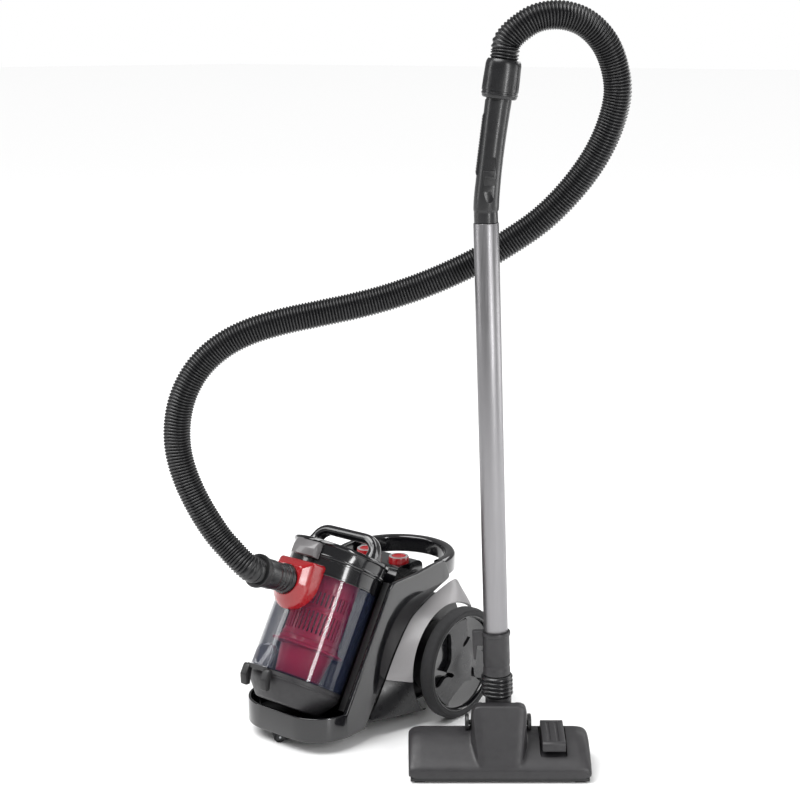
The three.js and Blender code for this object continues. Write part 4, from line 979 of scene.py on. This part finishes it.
def head():
    ends = [(-HEAD_HALF, 0.95, 0.8), (-128, 0.985, 0.9), (-123, 1, 0.965), (-114, 1, 1)]
    stations = ends + [(-x, scale, drop) for x, scale, drop in ends[::-1]]
    shell = skin("head_moulding", [wing_ring(*s) for s in stations])
    humps = []
    for y, half, top in ((HEAD_FRONT + 3, 30.6, 27), (-46, 35, 66), (-30, 39, 104.6), (-16, 39, 105),
                         (4, 39, 97), (9, 39, 94), (HEAD_REAR, 39, 60)):
        humps.append([
            (-half, y, 14), (half, y, 14), (half, y, top - 9), (half - 2.6, y, top - 2.6),
            (half - 9, y, top), (9 - half, y, top), (2.6 - half, y, top - 2.6), (-half, y, top - 9)])
    fused(shell, skin("hump", humps))
    modify(shell, "REMESH", mode="VOXEL", voxel_size=1.5)
    modify(shell, "SMOOTH", factor=0.5, iterations=14)
    skirt = [(x * 0.995, y) for x, y in
             softened([(-HEAD_HALF, HEAD_FRONT), (HEAD_HALF, HEAD_FRONT), (HEAD_HALF, HEAD_REAR),
                       (-HEAD_HALF, HEAD_REAR)], 14, 8)]
    fused(shell, rounded(prism("skirt", skirt, 8, SKIRT - 1), 0.8, 2))
    well = block("pedal_well", (58, -52, 34), (97, 12, 90))
    tools = [
        block("cavity", (-117, -59, 0), (117, 40, 19)),
        block("slot", (-25, -16, 40), (25, 80, 200)),
        block("throat", (-14, -14, 0), (14, 20, 60)),
        rounded(well, 3, 3),
        moved(cylinder("barrel_room", 18, -25, 25), PIVOT, 90, "Y"),
        moved(cylinder("pin_room", 4, -60, 60, 32), PIVOT, 90, "Y"),
        *[moved(cylinder("cap_room", 13.3, x, x + 5.6), PIVOT, 90, "Y") for x in (42.7, -48.3)],
    ]
    cut(shell, *tools)
    settled(shell, HEAD, GREY, "head_shell", sharp=38)
    pin = turned("hinge_pin_moulding", [
        (0, -48), (11.4, -48), (12.6, -47.4), (13, -46.4), (13, -43), (3.8, -43), (3.8, 43), (13, 43),
        (13, 46.4), (12.6, 47.4), (11.4, 48), (0, 48), (0, -48)], 64)
    settled(moved(pin, PIVOT, 90, "Y"), HEAD, BLACK, "hinge_pin")
    side = [(-50, 43), (-50, 54), (-47, 57), (8, 68), (10, 65), (10, 52), (-36, 43)]
    key = slab("pedal_moulding", softened(side, 2, 3), 61, 94)
    for x in (71, 83):
        groove = slab("groove", [(-44, 70), (-44, 56.2), (2, 65.4), (2, 80)], x - 2, x + 2)
        cut(key, groove)
    settled(rounded(key, 0.8, 2, 40), HEAD, GREY, "pedal")
    refined("sole_plate", BLACK, 0.8)
    refined("brush_bar", RUBBER, 0.4)
    for sign, node_name in ((-1, "head_roller_left"), (1, "head_roller_right")):
        tread = turned(node_name + "_moulding", [
            (0, -7), (6.6, -7), (8, -5.8), (8, 5.8), (6.6, 7), (0, 7), (0, -7)], 48)
        settled(moved(tread, (sign * 80, HEAD_REAR - 13.5, 8), 90, "Y"), HEAD, RUBBER, node_name)


# ------------------------------------------------------------------ studio
# strength of the sky that the pieces mirror, and of the one seen past the floor
MIRRORED_SKY, SEEN_SKY = 0.3, 1.0


def studio():
    """A pale floor under a broad soft sun, with softboxes that the glossy pieces mirror."""
    deselect()
    bpy.ops.mesh.primitive_plane_add(size=120)
    floor = bpy.context.object
    floor.name = "floor"
    floor.data.materials.append(surface("studio_floor", "#F4F4F4", 0.35, Specular_IOR_Level=0.12))
    world = bpy.data.worlds.new("studio")
    world.use_nodes = True
    seen = node(world, "ShaderNodeLightPath").outputs["Is Camera Ray"]
    share = node(world, "ShaderNodeMapRange", links={"Value": seen},
                 inputs={"To Min": MIRRORED_SKY, "To Max": SEEN_SKY})
    background = world.node_tree.nodes["Background"].inputs
    background["Color"].default_value = linear("#FFFFFF")
    world.node_tree.links.new(share.outputs["Result"], background["Strength"])
    bpy.context.scene.world = world
    bpy.context.scene.view_settings.view_transform = "Standard"
    bpy.ops.object.light_add(type="SUN", rotation=(math.radians(24), math.radians(-12), 0))
    sun = bpy.context.object
    sun.data.energy = 3.7
    sun.data.angle = math.radians(45)
    softbox("left_softbox", (-1.9, -1.5, 1.5), (0.5, 2.0), 16)
    softbox("stripe_softbox", (2.35, -0.9, 1.2), (0.34, 1.7), 30)
    softbox("right_softbox", (2.0, 2.1, 0.8), (1.4, 1.2), 20)
    softbox("rear_softbox", (0.4, 2.2, 1.8), (2.0, 0.8), 20)


def softbox(name, location, size, power):
    aim = Vector((0, 0, 0.3)) - Vector(location)
    deselect()
    turn = aim.to_track_quat("-Z", "Y").to_euler()
    bpy.ops.object.light_add(type="AREA", location=location, rotation=turn)
    light = bpy.context.object
    light.name = name
    light.data.shape = "RECTANGLE"
    light.data.size, light.data.size_y = size
    light.data.energy = power


# ------------------------------------------------------------------ the object
make_camera()
fittings = hose_fittings()
make_hose()
body_frame()
button_block()
fender("crescent", 0, 6, SILVER, "crescent_panel")
fender("skirt", 6, 9, SATIN, "side_skirt")
wheels()
caster()
bin_pieces()
carry_handle()
release_button()
cyclone()
bin_catch()
handle()
wand()
head()
for name in ("base_pan", "motor_housing", "exhaust_grille", "bin_cradle"):
    refined(name, BLACK, 1.0)
for name in ("side_cover_right", "side_cover_left", "cord_outlet"):
    refined(name, BLACK, 0.8)
for name in ("motor_case", "motor_shaft", "stub_axle_right", "stub_axle_left"):
    painted(name, STEEL)
for name in ("fan_impeller", "cord_reel", "power_switch"):
    painted(name, BLACK)
painted("exhaust_filter", FLEECE)
studio()
